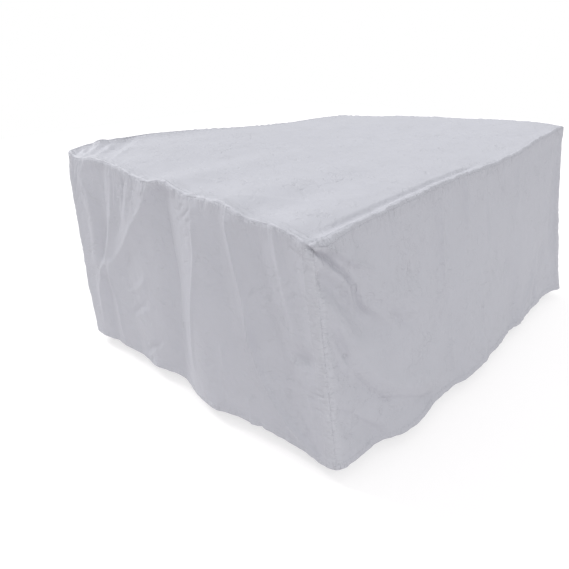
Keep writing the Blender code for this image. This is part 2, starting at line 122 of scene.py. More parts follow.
# Stitches
STITCH_PITCH = 0.0045
STITCH_LENGTH = 0.0033
STITCH_WIDTH = 0.0009
STITCH_FLAT = 0.7  # its height as a share of its width
STITCH_SIDES = 6
STITCH_RINGS = 4
ROW_END = 0.006  # a row starts and ends this far from a corner,
RIM_ROW = 0.006  # lies this far below the rim seam,
HEM_ROW = 0.003  # this far below the upper edge of the hem,
CORNER_ROWS = (0.007, BAND_WIDTH - 0.004)  # and these far from a corner seam
CORNER_ROW_TOP = 0.012  # where such an upright row starts below the rim seam
CORNER_ROW_END = 0.004  # and ends above the hem
PROBE = 0.002  # step over which a wall's slope is measured

# Spacing of the points of the sheets
RULER_STEPS = 4001
FINE_REACH = 0.30  # the columns of a wall get finer within this distance of a spot
ROW_FINE_REACH = 0.5  # and its rows within this share of its height from the rim
TOP_FINE = 0.0034  # spacing near the rims of the top, and in its middle
TOP_COARSE = 0.0085
TOP_FINE_REACH = 0.09

# Look of the cloth: its two mixed colours, and heights of its fine relief in millimetres
CLOTH_DARK = (0.430, 0.430, 0.472, 1.0)
CLOTH_PALE = (0.464, 0.464, 0.508, 1.0)
CORNER_BAND_PAINTED_LIGHT = (0.476, 0.476, 0.518, 1.0)  # painted light: a paler colour beside the upright corner seams, lightening the band where the turn of the corner leaves it in shade
THREAD = (0.56, 0.56, 0.60)
THREAD_ROUGHNESS = 0.7
WEAVE_HEIGHT = 0.16
PUCKER_HEIGHT = 8.0
CRUMPLE_HEIGHT = 4.2
THREADS = 420.0  # threads a metre
SLUBS = 14.0  # thick places a metre along a thread
CROSSINGS = 0.12  # share of the crossings in the height of the weave
THICK_TINT = 0.35  # how much a thick thread changes the mix of the two colours
PUCKER_SEAM = 0.05  # the fine puckers die out over this distance from a seam
PUCKERS = 88.0  # puckers a metre along a seam, and changes a metre across it
PUCKER_CHANGES = 26.0
CORNER_PUCKERS = 1.2  # those of a corner seam are deeper by this factor
CRUMPLES = 36.0  # small creases a metre
CLOUDS = 11.0  # soft cloudy patches a metre
SMOOTHEST = 0.50  # roughness of the cloth, and what the clouds add to it
ROUGHER = 0.16
SHINE = 0.35  # its specular level
PATCHES = 7.0  # patches of small creases a metre
PATCH_FROM = 0.38  # range of the noise over which they fade in
PATCH_TO = 0.66
PATCH_LEAST = 0.25  # depth that is left between them
CREASE_EDGE = -1.6  # how sharply the small creases are folded
GRAIN = 300.0  # specks a metre in a plain finish
GRAIN_DARK = 0.96

# The studio: a plain floor, a soft sky that is brighter above, two suns and the camera
FLOOR_LEVEL = -0.79  # 5 cm below the hem
FLOOR_SIZE = 14.0
FLOOR_COLOUR = (0.40, 0.385, 0.39)
FLOOR_ROUGHNESS = 0.9
FLOOR_GLOW = 0.64
WHITE = (1.0, 1.0, 1.0, 1.0)
SKY_COLOUR = (0.985, 1.0, 1.0, 1.0)
SKY_LOW = 0.55  # brightness of the soft light at the height of the horizon
SKY_RISE = 0.47  # and what is added to it straight above
# Suns: strength, width in degrees, direction in which it shines
SUNS = (
    (1.9, 20, (0.16, -1.0, -0.9)),
    (0.6, 40, (0.40, 0.85, -0.9)),
)
CAMERA_PLACE = (-1.615, -1.293, 0.377)
CAMERA_HEADING = 44.9  # degrees from +X
CAMERA_TILT = -26.4
CAMERA_ROLL = -1.6
CAMERA_LENS = 30.4
CAMERA_SENSOR = 36.0

Corner = namedtuple("Corner", "x_side y_side rim_z hem_dx hem_dy lean pucker")
Fold = namedtuple("Fold", "depth start_width end_width path crisp lean start_fade")
Patch = namedtuple("Patch", "along below reach depth size_along size_below slant")
Wall = namedtuple("Wall", "name rim hem folds creases patches gather crumple"
                          " fine coarse spots fine_row coarse_row")
Wave = namedtuple("Wave", "seed depth spacing mean", defaults=(0.0,))
Dents = namedtuple("Dents", "seed depth size_p size_q")

# Random waves along a seam. Each wall or corner adds its number to the seed. Where a wave
# scales something else, its depth and its mean are shares.
RIM_LONG = Wave(11, 0.0026, 0.034)
RIM_SHORT = Wave(21, 0.0020, 0.014)
CORNER_SHORT = Wave(31, 0.6, 0.011)
CORNER_MIDDLE = Wave(41, 0.6, 0.034)
CORNER_LONG = Wave(46, 1.0, 0.11)
GATHERS = Wave(51, 1.0, 0.026)
GATHER_SWAY = Wave(61, 0.02, 0.2)
GATHER_STRENGTH = Wave(66, 0.5, 0.17, 0.65)
HEM_WAVE = Wave(91, 0.0016, 0.021)
BEAD = Wave(101, 0.0012, 0.020, 0.0010)
GROOVE = Wave(111, 0.0010, 0.035, 0.0008)
FRONT_GROOVE_SHARE = Wave(116, 0.5, 0.05, 0.85)
TOP_GATHERS = Wave(121, 0.0016, 0.017)
CORNER_TUCK_SHARE = Wave(136, 0.5, 0.05, 0.5)
RIM_TUCK_SHARE = Wave(141, 0.6, 0.03, 0.5)
UNDER_RIM_SHARE = Wave(146, 0.7, 0.06, 0.6)

# Random dents: seed, depth and their size one way and the other. On the walls the depth is
# a share, and each wall adds its number to the seed.
WIDE_DENTS = Dents(71, 1.0, 0.10, 0.16)
SMALL_DENTS = Dents(81, 0.5, 0.045, 0.060)
RIDGED_DENTS = Dents(86, 1.0, 0.038, 0.055)
TOP_WIDE_DENTS = Dents(131, 0.0012, 0.13, 0.10)
TOP_SMALL_DENTS = Dents(132, 0.0006, 0.05, 0.04)
TOP_RIDGED_DENTS = Dents(133, 1.0, 0.22, 0.034)
TOP_RIDGE_DEPTH = 0.0009
WALL_PATCH_SEED = 150  # first seed of the patches of wrinkles on the walls,
WALL_PATCH_STEP = 20  # the step from wall to wall,
TOP_PATCH_SEED = 240  # and the first seed of those on the top


def fold(depth, start_width, end_width, path, crisp=0.0, lean=0.0, start_fade=None):
    """A fold whose lengths are given in millimetres."""
    return Fold(depth / 1000, start_width / 1000, end_width / 1000, np.array(path) / 1000,
                crisp, lean, start_fade)


def patch(*row):
    """A patch of wrinkles whose lengths are given in millimetres."""
    return Patch(*(length / 1000 for length in row[:-1]), row[-1])


# Corners anticlockwise from the near one: height of the rim, how far the hem swings from
# under it, how the seam leans on its way down, and how deep its puckers are.
CORNERS = (
    Corner(-1, -1, -0.028, 0.046, -0.055, 1.0, 0.0026),
    Corner(+1, -1, 0.024, 0.018, -0.148, 1.25, 0.0022),
    Corner(+1, +1, -0.014, 0.022, 0.034, 1.0, 0.002),
    Corner(-1, +1, 0.038, -0.055, 0.008, 0.6, 0.003),
)

# Rim rows: distance along the wall from its first corner, height of the rim there.
FRONT_RIM = ((0.0, -0.028), (0.05, -0.033), (0.11, -0.029), (0.21, -0.024), (0.32, -0.019),
    (0.44, -0.015), (0.74, -0.01), (0.92, -0.015), (1.13, -0.013), (1.25, -0.006), (1.36, 0.009),
    (1.5, 0.016), (1.64, 0.024), (1.7, 0.024))
RIGHT_RIM = ((0.0, 0.024), (0.06, 0.03), (0.27, 0.032), (0.51, 0.023), (0.79, 0.014), (0.95, 0.003),
    (1.11, -0.008), (1.25, -0.014))
BACK_RIM = ((0.0, -0.014), (0.17, -0.006), (0.35, -0.004), (0.57, 0.002), (0.75, 0.013), (0.9, 0.023),
    (1.05, 0.036), (1.3, 0.051), (1.45, 0.055), (1.58, 0.053), (1.65, 0.047), (1.7, 0.038))
LEFT_RIM = ((0.0, 0.038), (0.05, 0.023), (0.2, 0.034), (0.3, 0.032), (0.39, 0.025), (0.52, 0.008),
    (0.65, 0.02), (0.75, 0.005), (0.83, 0.006), (0.93, 0.007), (1.02, -0.012), (1.15, -0.012),
    (1.21, -0.026), (1.25, -0.028))

# Hem rows: fraction of the way along the wall, how far the hem stands out from the
# straight line between its corners, and how far it is lifted.
FRONT_HEM = ((0.0, 0.0, 0.0), (0.05, 0.005, 0.0), (0.09, 0.006, 0.002), (0.14, 0.028, 0.0),
    (0.215, 0.042, -0.002), (0.27, 0.033, 0.001), (0.36, 0.026, 0.002), (0.41, 0.037, -0.001),
    (0.46, 0.034, -0.001), (0.53, 0.022, 0.0), (0.61, 0.01, 0.0), (0.68, -0.007, 0.003),
    (0.71, -0.001, -0.002), (0.78, -0.013, 0.001), (0.85, -0.022, 0.001), (0.91, -0.031, 0.002),
    (0.96, -0.024, 0.0), (1.0, 0.0, 0.0))
RIGHT_HEM = ((0.0, 0.0, 0.0), (0.12, 0.012, 0.001), (0.27, 0.004, 0.003), (0.45, 0.026, -0.004),
    (0.61, 0.013, 0.002), (0.8, 0.024, -0.002), (1.0, 0.0, 0.0))
BACK_HEM = ((0.0, 0.0, 0.0), (0.1, 0.018, 0.002), (0.24, 0.008, 0.0), (0.38, 0.032, -0.004),
    (0.52, 0.014, 0.003), (0.69, 0.03, -0.003), (0.84, 0.009, 0.001), (1.0, 0.0, 0.0))
LEFT_HEM = ((0.0, 0.0, 0.0), (0.06, -0.002, 0.0), (0.17, -0.014, 0.001), (0.25, -0.019, 0.001),
    (0.35, -0.002, -0.002), (0.41, -0.01, 0.0), (0.47, -0.01, 0.0), (0.56, 0.016, -0.001),
    (0.635, 0.026, -0.001), (0.68, 0.011, 0.001), (0.75, 0.0, 0.002), (0.82, -0.009, 0.001),
    (0.92, -0.009, 0.0), (0.97, -0.003, 0.0), (1.0, 0.0, 0.0))

# Fold rows, in millimetres: depth (a ridge is positive, a trough negative), half width
# where the fold starts and where it ends, and its path as (along the wall, below the rim).
# Then, if need be, as shares: how crisp it is, how much it leans and how soon its start
# dies out. A crisp fold comes to an edge, and lean makes one side of it the steeper one:
# with a positive lean, the side of a hanging fold that is nearer the wall's first corner.
CORNER_FOLDS = (
    # the drag fold that the near corner pulls, its light edge, the sharp line under it,
    # and the hollow below that
    fold(10, 30, 75, ((-30, -10), (70, 25), (150, 90), (200, 170), (280, 240), (410, 320), (560, 390)),
        0.2, 0.3, 0.15),
    fold(6, 10, 14, ((-30, -10), (20, -2), (66, 31), (127, 81), (186, 121), (239, 168)), 0.8, 0.0, 0.05),
    fold(-12, 10, 20, ((-34, 4), (0, 20), (27, 31), (50, 49), (77, 79), (104, 107), (130, 145),
        (145, 190), (165, 235), (200, 275), (260, 310)), 0.6, 0.0, 0.06),
    fold(-17, 45, 62, ((-20, 65), (30, 100), (75, 145), (115, 200), (160, 265), (240, 325), (380, 390)),
        0.3, -0.25, 0.15),
)
FRONT_FOLDS = (
    fold(7, 40, 50, ((20, 120), (60, 200), (110, 300), (180, 410))),
    fold(-8, 40, 56, ((0, 190), (50, 290), (90, 410), (170, 530), (290, 630), (460, 690), (600, 720)),
        0.2, -0.2),
    fold(11, 50, 60, ((120, 360), (220, 490), (360, 580), (520, 640)), 0.1, 0.2),
    fold(-9, 40, 54, ((10, 480), (70, 580), (170, 670), (280, 800)), 0.2, -0.2),
    fold(4, 26, 30, ((590, 0), (590, 220), (620, 420))),
    fold(4, 24, 30, ((760, -20), (760, 260))),
    fold(4, 26, 35, ((330, -20), (350, 140))),
    fold(4, 30, 40, ((1200, -20), (1220, 240))),
    fold(5, 40, 50, ((860, 400), (840, 570), (870, 820))),
    fold(5, 36, 60, ((1470, 500), (1330, 630), (1100, 760))),
    fold(-6, 50, 50, ((1580, 420), (1450, 620), (1360, 800))),
    fold(-8, 110, 110, ((900, 380), (1150, 450))),
    fold(-10, 60, 60, ((1640, 100), (1630, 600))),
)
LEFT_FOLDS = (
    fold(8, 50, 45, ((80, -20), (130, 120), (150, 220), (140, 360), (100, 460)), 0.1, -0.2),
    fold(-11, 80, 55, ((260, -20), (240, 160), (200, 300), (150, 420)), 0.2, -0.3, 0.08),
    fold(7, 44, 48, ((330, -40), (320, 130), (270, 250), (210, 380), (155, 440), (120, 540), (100, 800)),
        0.3),
    fold(11, 75, 65, ((600, -40), (520, 90), (450, 170), (370, 270), (280, 360), (210, 430)), 0.2, -0.25,
        0.12),
    fold(11, 80, 90, ((260, 360), (225, 450), (235, 570), (235, 840)), 0.2, 0.45),
    fold(5, 30, 30, ((460, 0), (420, 110), (380, 200))),
    fold(-6, 35, 40, ((170, 480), (170, 850))),
    fold(-20, 100, 115, ((610, -40), (620, 100), (630, 240), (625, 400), (605, 540), (575, 700),
        (560, 840)), 0.5, 0.05, 0.1),
    fold(-3, 70, 90, ((470, 420), (420, 600), (380, 840))),
    fold(9, 110, 110, ((800, -40), (790, 150), (765, 270), (725, 440), (705, 560), (700, 840)), 0.4, 0.2,
        0.1),
    fold(-6, 60, 70, ((880, 0), (890, 250), (920, 500), (1000, 720))),
    fold(12, 55, 50, ((935, -40), (965, 130), (985, 320), (1000, 430), (1040, 545), (1100, 640),
        (1200, 740)), 0.3, 0.1, 0.1),
    fold(-7, 45, 55, ((1050, -20), (1060, 200), (1080, 380), (1130, 520))),
    fold(4, 30, 35, ((845, 440), (850, 580), (850, 800))),
    fold(6, 26, 30, ((1110, -30), (1130, 100), (1150, 260), (1155, 340))),
    fold(-14, 40, 40, ((1225, 320), (1170, 360), (1120, 395))),
    fold(3, 22, 24, ((1200, -20), (1215, 180), (1200, 340))),
    fold(4, 18, 18, ((1185, 480), (1165, 680))),
)
RIGHT_FOLDS = (
    fold(13, 30, 60, ((160, -40), (140, 300), (110, 840))),
    fold(-10, 50, 70, ((300, 20), (330, 400), (340, 840))),
    fold(15, 32, 70, ((490, -40), (540, 360), (570, 840))),
    fold(-9, 50, 70, ((710, 40), (740, 450), (760, 840))),
    fold(13, 30, 65, ((930, -40), (980, 320), (990, 840))),
    fold(-8, 35, 50, ((1130, 60), (1120, 500), (1140, 840))),
)
BACK_FOLDS = (
    fold(12, 32, 60, ((220, -40), (190, 350), (170, 840))),
    fold(-10, 55, 75, ((410, 20), (400, 420), (420, 840))),
    fold(16, 34, 75, ((600, -40), (620, 300), (660, 840))),
    fold(-9, 60, 80, ((860, 50), (880, 450), (880, 840))),
    fold(14, 34, 75, ((1120, -40), (1170, 360), (1190, 840))),
    fold(10, 30, 60, ((1420, -40), (1400, 340), (1440, 840))),
    fold(-10, 40, 55, ((1560, 40), (1570, 400), (1560, 840))),
)

# Top folds, with paths in plan. The first is the trough beside the near rim.
TOP_FOLDS = (
    fold(-8, 22, 16, ((-830, -588), (-550, -590), (-200, -592), (100, -594))),
    fold(-7, 40, 50, ((-800, 420), (-690, 520), (-560, 640))),
    fold(7, 28, 36, ((-860, 500), (-760, 570), (-680, 660))),
    fold(-4, 35, 35, ((-870, 560), (-800, 640))),
    fold(3, 60, 70, ((-760, -200), (-590, -320), (-400, -520))),
    fold(-3, 50, 60, ((-820, -340), (-700, -430), (-560, -560))),
    fold(3, 70, 80, ((340, -520), (500, -300), (760, -160))),
    fold(3, 80, 90, ((300, 360), (460, 120), (520, -100))),
    fold(-4, 30, 40, ((860, 300), (760, 440), (700, 630))),
)

# Creases: narrower and crisper than the folds that they lie on.
FRONT_CREASES = (
    fold(-5, 14, 18, ((30, 200), (60, 260), (80, 320), (100, 390), (150, 480), (220, 560), (310, 635)),
        0.6, -0.2),
    fold(4, 13, 18, ((30, 230), (50, 305), (90, 385), (160, 470)), 0.6),
    fold(-7, 15, 20, ((20, 480), (70, 530), (120, 590), (220, 690)), 0.6, -0.2),
    fold(-6, 16, 22, ((190, 550), (300, 600), (390, 655), (500, 710)), 0.5, -0.2),
    # the dent where the drag fold runs out
    fold(-10, 20, 22, ((250, 270), (310, 325), (380, 385)), 0.5, -0.2),
    fold(5, 14, 14, ((290, 265), (350, 320), (420, 375)), 0.6),
    # faint hanging lines
    fold(5, 13, 14, ((585, 60), (585, 340)), 0.6),
    fold(5, 12, 13, ((750, 0), (750, 200)), 0.6),
    fold(3, 12, 14, ((300, 0), (305, 100)), 0.6),
    fold(3, 12, 13, ((1200, 20), (1200, 170)), 0.6),
    fold(4.5, 14, 16, ((610, 420), (620, 700)), 0.5),
    fold(4, 13, 14, ((930, 80), (940, 320)), 0.5),
    fold(4, 13, 14, ((1070, 30), (1070, 200)), 0.5),
    fold(3, 12, 16, ((1420, 10), (1430, 220)), 0.5),
    fold(3, 12, 14, ((1560, 10), (1570, 160)), 0.5),
    # at the hem
    fold(6, 15, 20, ((1090, 740), (1240, 680), (1390, 600), (1460, 560)), 0.6, 0.2),
    fold(-5, 14, 18, ((850, 440), (840, 570), (890, 680)), 0.5),
    fold(-5, 14, 18, ((1520, 480), (1440, 600), (1410, 760)), 0.5),
)
LEFT_CREASES = (
    fold(3, 11, 12, ((90, 80), (110, 120), (140, 180)), 0.6),
    fold(3, 18, 16, ((325, 30), (310, 150), (270, 250), (210, 380), (155, 440), (125, 520), (110, 620),
        (100, 760)), 0.4),
    fold(-4, 11, 12, ((345, -10), (325, 120), (305, 190)), 0.6),
    fold(-4, 16, 16, ((410, -10), (390, 140)), 0.5),
    fold(3, 18, 18, ((590, 0), (530, 80), (450, 170), (370, 270), (280, 360), (210, 420)), 0.5),
    fold(4, 12, 14, ((210, 400), (225, 500), (238, 570), (235, 780)), 0.7),
    fold(-4, 14, 16, ((620, 10), (632, 180), (640, 290), (635, 440)), 0.7),
    fold(5, 11, 14, ((800, -10), (790, 150), (765, 270), (740, 360), (722, 450), (708, 540), (703, 700)),
        0.8),
    fold(8, 11, 14, ((940, -10), (965, 130), (978, 220), (985, 340), (1000, 450)), 0.8),
    fold(13, 20, 26, ((982, 300), (1000, 430), (1030, 530), (1070, 600), (1140, 670), (1210, 730)), 0.8,
        -0.4, 0.15),
    fold(-4, 11, 11, ((1030, 180), (980, 255)), 0.6),
    fold(3, 11, 13, ((845, 440), (850, 580), (845, 720)), 0.6),
    fold(2, 11, 12, ((1120, -10), (1130, 100), (1150, 270)), 0.7),
    fold(-6, 15, 15, ((400, 270), (330, 380)), 0.4),
    fold(4, 20, 22, ((490, 340), (400, 440), (290, 510)), 0.3, -0.2),
    fold(-5, 20, 22, ((480, 420), (380, 530), (280, 600)), 0.3, 0.2),
    fold(-6, 20, 22, ((520, 580), (440, 670), (360, 740)), 0.3),
    fold(-5, 13, 15, ((955, 680), (965, 745), (960, 820)), 0.6),
    fold(4, 12, 14, ((930, 670), (935, 820)), 0.6),
)
TOP_CREASES = (
    fold(2, 18, 24, ((-800, -20), (-660, -160), (-500, -360)), 0.6),
    fold(2, 16, 22, ((-820, -240), (-700, -360), (-580, -520)), 0.6),
    fold(2, 16, 20, ((-830, -400), (-740, -480), (-660, -580)), 0.6),
    # the pair of creases by the far left corner
    fold(5, 14, 20, ((-840, 420), (-760, 500), (-680, 600)), 0.7),
    fold(-4, 14, 18, ((-840, 390), (-740, 460), (-640, 570)), 0.6),
    fold(3, 13, 16, ((-830, 330), (-760, 380), (-660, 460)), 0.6),
    fold(5, 12, 16, ((-830, 550), (-790, 600)), 0.6),
)

# Patches of small wrinkles, in millimetres: place, reach, depth, and the size of the
# wrinkles one way and the other; then their slant in degrees.
FRONT_PATCHES = (
    patch(50, 70, 100, 2.2, 30, 12, 40),
    patch(100, 200, 120, 2, 30, 14, 55),
    patch(250, 290, 120, 1.6, 28, 14, 40),
    patch(70, 660, 160, 1.8, 35, 14, 25),
    patch(360, 660, 160, 1.6, 40, 14, -15),
    patch(750, 620, 160, 1.4, 30, 14, -50),
    patch(1050, 420, 180, 1.6, 14, 34, 10),
    patch(1350, 620, 180, 1.8, 34, 14, -35),
    patch(1620, 350, 220, 2.2, 12, 40, 0),
    patch(1300, 60, 180, 1.6, 12, 34, 0),
)
LEFT_PATCHES = (
    patch(50, 100, 120, 2.4, 13, 34, 20),
    patch(120, 200, 100, 1.8, 26, 13, -35),
    patch(400, 60, 120, 2, 11, 32, 8),
    patch(380, 460, 170, 2.4, 40, 18, -40),
    patch(760, 70, 110, 2.6, 30, 13, -15),
    patch(840, 270, 120, 1.8, 26, 13, -32),
    patch(420, 720, 140, 2.6, 30, 14, -30),
    patch(1040, 220, 120, 1.4, 22, 11, -45),
    patch(1160, 180, 120, 1.8, 22, 11, -40),
    patch(1140, 400, 120, 2.2, 26, 12, -40),
    patch(800, 720, 160, 1.8, 26, 14, -15),
    patch(1120, 660, 160, 2.2, 22, 12, -40),
    patch(1200, 460, 130, 2.6, 40, 10, -20),
)
TOP_PATCHES = (
    patch(-760, 500, 200, 3, 50, 20, 35),
    patch(-700, 250, 200, 1.6, 45, 22, -30),
    patch(-720, -350, 240, 1.4, 60, 22, -45),
    patch(-450, -480, 260, 1.2, 60, 22, -45),
    patch(550, -450, 260, 1.2, 60, 22, -45),
    patch(740, 100, 240, 1.2, 60, 24, -45),
)

# Walls: gather is the depth of the small folds that hang from the rim seam, crumple the
# depth of the random dents. Columns lie `fine` apart near the spots and else `coarse`;
# rows go from `fine_row` at the rim to `coarse_row`.
WALLS = (
    Wall("front_wall", FRONT_RIM, FRONT_HEM, FRONT_FOLDS, FRONT_CREASES, FRONT_PATCHES, 0.0016, 0.0018,
        0.0038, 0.0074, (0.0,), 0.0038, 0.0056),
    Wall("right_wall", RIGHT_RIM, RIGHT_HEM, RIGHT_FOLDS, (), (), 0.002, 0.0016, 0.007, 0.0085, (0.0,),
        0.007, 0.008),
    Wall("back_wall", BACK_RIM, BACK_HEM, BACK_FOLDS, (), (), 0.002, 0.0016, 0.007, 0.0085, (0.0,), 0.007,
        0.008),
    Wall("left_wall", LEFT_RIM, LEFT_HEM, LEFT_FOLDS, LEFT_CREASES, LEFT_PATCHES, 0.0024, 0.0022, 0.004,
        0.0046, (1.25,), 0.004, 0.005),
)

# ---- curves and noise
def curve_through(rows, column, at):
    """A smooth curve through one column of a table, read at the places `at`."""
    table = np.array(rows, float)
    x, y = table[:, 0], table[:, column]
    slope = np.gradient(y, x)
    at = np.clip(at, x[0], x[-1])
    i = np.clip(np.searchsorted(x, at, side="right") - 1, 0, len(x) - 2)
    step = x[i + 1] - x[i]
    t = (at - x[i]) / step
    return ((2 * t ** 3 - 3 * t ** 2 + 1) * y[i] + (t ** 3 - 2 * t ** 2 + t) * step * slope[i]
            + (3 * t ** 2 - 2 * t ** 3) * y[i + 1] + (t ** 3 - t ** 2) * step * slope[i + 1])


def smooth_step(value):
    """0 below 0, 1 above 1, and a soft ramp between."""
    value = np.clip(value, 0.0, 1.0)
    return value * value * (3 - 2 * value)


def bell(value):
    """1 at 0, falling softly to 0 at 1 and beyond."""
    return 0.5 + 0.5 * np.cos(pi * np.clip(np.abs(value), 0.0, 1.0))


def ripple(seed, places, spacing):
    """A smooth random curve between -1 and 1, with a new value every `spacing`."""
    count = 4096
    values = np.random.default_rng(seed).uniform(-1.0, 1.0, count)
    x = places / spacing + 100.0  # so that places a little below 0 don't wrap round
    i = np.floor(x).astype(int)
    t = smooth_step(x - i)
    return values[i % count] * (1 - t) + values[(i + 1) % count] * t


def wave(kind, index, places):
    """A random wave of one kind; `index` gives each wall or corner its own."""
    return kind.mean + kind.depth * ripple(kind.seed + index, places, kind.spacing)


def soft_noise(seed, p, q, size_p, size_q):
    """Soft random dents of about the given size, between -1 and 1."""
    count = 64
    turn = np.random.default_rng(seed).uniform(0.0, 2 * pi, (count, count))
    x, y = p / size_p + count / 2, q / size_q + count / 2
    i, j = np.floor(x).astype(int), np.floor(y).astype(int)
    total = np.zeros_like(x)
    for a in (0, 1):
        for b in (0, 1):
            angle = turn[(i + a) % count, (j + b) % count]
            u, v = x - i - a, y - j - b
            weight = smooth_step(1 - np.abs(u)) * smooth_step(1 - np.abs(v))
            total += weight * (np.cos(angle) * u + np.sin(angle) * v)
    return 1.6 * total  # so that it fills its range


def dents(kind, index, p, q):
    """Random dents of one kind; `index` gives each wall its own."""
    return kind.depth * soft_noise(kind.seed + index, p, q, kind.size_p, kind.size_q)


def fold_track(ends):
    """A smooth track through a fold's path, as (n, 2)."""
    reach = np.linspace(0.0, 1.0, len(ends))
    fine = np.linspace(0.0, 1.0, FOLD_SAMPLES * (len(ends) - 1) + 1)
    return np.stack([curve_through(np.column_stack([reach, ends[:, axis]]), 1, fine)
                     for axis in (0, 1)], axis=1)


def fold_relief(folds, p, q):
    """Sum of the folds at the places (p, q), each a soft or crisp bell across its path."""
    relief = np.zeros_like(p)
    for each in folds:
        track = fold_track(each.path)
        least = FOLD_END_LENGTH / np.sum(np.hypot(*np.diff(track, axis=0).T))
        end_fade = min(max(FOLD_END, least), MOST_FOLD_END)
        start_fade = each.start_fade or end_fade
        nearest = np.full(p.shape, np.inf)
        along = np.zeros(p.shape)
        side = np.zeros(p.shape)
        for i, (a, b) in enumerate(zip(track[:-1], track[1:])):
            run = b - a
            dp, dq = p - a[0], q - a[1]
            t = np.clip((dp * run[0] + dq * run[1]) / run.dot(run), 0, 1)
            away = np.hypot(dp - t * run[0], dq - t * run[1])
            closer = away < nearest
            nearest = np.where(closer, away, nearest)
            along = np.where(closer, (i + t) / (len(track) - 1), along)
            side = np.where(closer, np.sign(run[0] * dq - run[1] * dp), side)
        width = each.start_width + (each.end_width - each.start_width) * along
        share = nearest / (width * (1 - each.lean * side))
        edge = np.clip(1 - (np.sqrt(share ** 2 + CRISP_ROUND) - sqrt(CRISP_ROUND)), 0, 1) ** 2
        shape = (1 - each.crisp) * bell(share) + each.crisp * edge
        ends_fade = smooth_step(along / start_fade) * smooth_step((1 - along) / end_fade)
        relief += each.depth * shape * ends_fade
    return relief


def patch_relief(patches, seed, p, q):
    """Small random wrinkles in patches, each stretched and turned its own way."""
    relief = np.zeros_like(p)
    for i, each in enumerate(patches):
        dp, dq = p - each.along, q - each.below
        turn = radians(each.slant)
        u, v = cos(turn) * dp + sin(turn) * dq, cos(turn) * dq - sin(turn) * dp
        wrinkles = soft_noise(seed + i, u, v, each.size_along, each.size_below)
        wrinkles = wrinkles + PATCH_RIDGES * (RIDGE_LEVEL - np.abs(wrinkles))
        relief += each.depth * wrinkles * bell(np.hypot(dp, dq) / each.reach)
    return relief


def graded(length, fine, coarse, spots, reach):
    """Places from 0 to `length`, `fine` apart near the spots and `coarse` apart elsewhere."""
    ruler = np.linspace(0.0, length, RULER_STEPS)
    near = np.max([smooth_step((reach - np.abs(ruler - spot)) / (0.5 * reach))
                   for spot in spots], axis=0)
    spacing = coarse + (fine - coarse) * near
    count = np.concatenate([[0.0], np.cumsum(np.diff(ruler) / spacing[1:])])
    return np.interp(np.linspace(0.0, count[-1], round(count[-1]) + 1), count, ruler)


# ---- the shape of the walls
def corner_plan(index, down):
    """Plan position of a sharp corner at the fraction `down` of the drop, as (n, 2)."""
    corner = CORNERS[index % 4]
    lean = np.power(down, corner.lean)
    x = corner.x_side * LENGTH / 2 + corner.hem_dx * lean
    y = corner.y_side * WIDTH / 2 + corner.hem_dy * lean
    return np.stack([x, y], axis=-1)


def unit(vectors):
    """The vectors at length 1."""
    return vectors / np.linalg.norm(vectors, axis=-1, keepdims=True)


def wall_length(index):
    """Length of a wall at the rim."""
    return LENGTH if index % 2 == 0 else WIDTH


def wall_path(index, along, down):
    """Plan position and outward direction on a wall, with its corners rounded.

    `along` is the distance from the wall's first corner at the rim.
    """
    before, first, last, after = (corner_plan(index + i, down) for i in (-1, 0, 1, 2))
    heading = unit(last - first)
    span = np.linalg.norm(last - first, axis=-1)
    distance = along / wall_length(index) * span
    reach = RIM_CORNER + (HEM_CORNER - RIM_CORNER) * down
    place = first + heading * distance[..., None]
    tangent = heading.copy()
    arcs = ((first, first + heading * reach[..., None],
             first - unit(first - before) * reach[..., None], distance, -1.0),
            (last, last - heading * reach[..., None],
             last + unit(after - last) * reach[..., None], span - distance, 1.0))
    for corner, own, other, gap, way in arcs:
        t = np.clip((1 - gap / reach) / 2, 0, 0.5)[..., None]
        arc = (1 - t) ** 2 * own + 2 * t * (1 - t) * corner + t ** 2 * other
        turn = way * unit((1 - t) * (corner - own) + t * (other - corner))
        inside = (gap < reach)[..., None]
        place = np.where(inside, arc, place)
        tangent = np.where(inside, turn, tangent)
    outward = np.stack([tangent[..., 1], -tangent[..., 0]], axis=-1)
    return place, outward


def rim_path(index, along):
    """Plan position and outward direction along a wall's rim."""
    return wall_path(index, along, np.zeros_like(along))


def wall_height(index, along):
    """Height of the rim and drop from it to the hem."""
    rim_z = curve_through(WALLS[index].rim, 1, along)
    hem_z = -DROP + curve_through(WALLS[index].hem, 2, along / wall_length(index))
    return rim_z, rim_z - hem_z


def rim_puckers(index, along):
    """How far the rim seam wanders in and out along a wall."""
    near_corner = np.minimum(along, wall_length(index) - along)
    wander = wave(RIM_LONG, index, along) + wave(RIM_SHORT, index, along)
    return wander * smooth_step(near_corner / SEAM_START)


def corner_puckers(corner, below):
    """How far an upright corner seam wanders in and out on its way down."""
    knot = SHORT_DEPTH + KNOT_DEPTH * bell((below - KNOT_BELOW) / KNOT_REACH)
    wander = (knot * wave(CORNER_SHORT, corner, below) + wave(CORNER_MIDDLE, corner, below)
              + wave(CORNER_LONG, corner, below))
    return CORNERS[corner].pucker * wander * smooth_step((below - RIM_ROLL) / SEAM_START)


def near_corner_relief(index, along, below):
    """The folds that cross the near corner, on the two walls that meet there."""
    if index == 0:
        return fold_relief(CORNER_FOLDS, along, below)
    if index == 3:
        return fold_relief(CORNER_FOLDS, along - wall_length(3), below)
    return np.zeros_like(along)


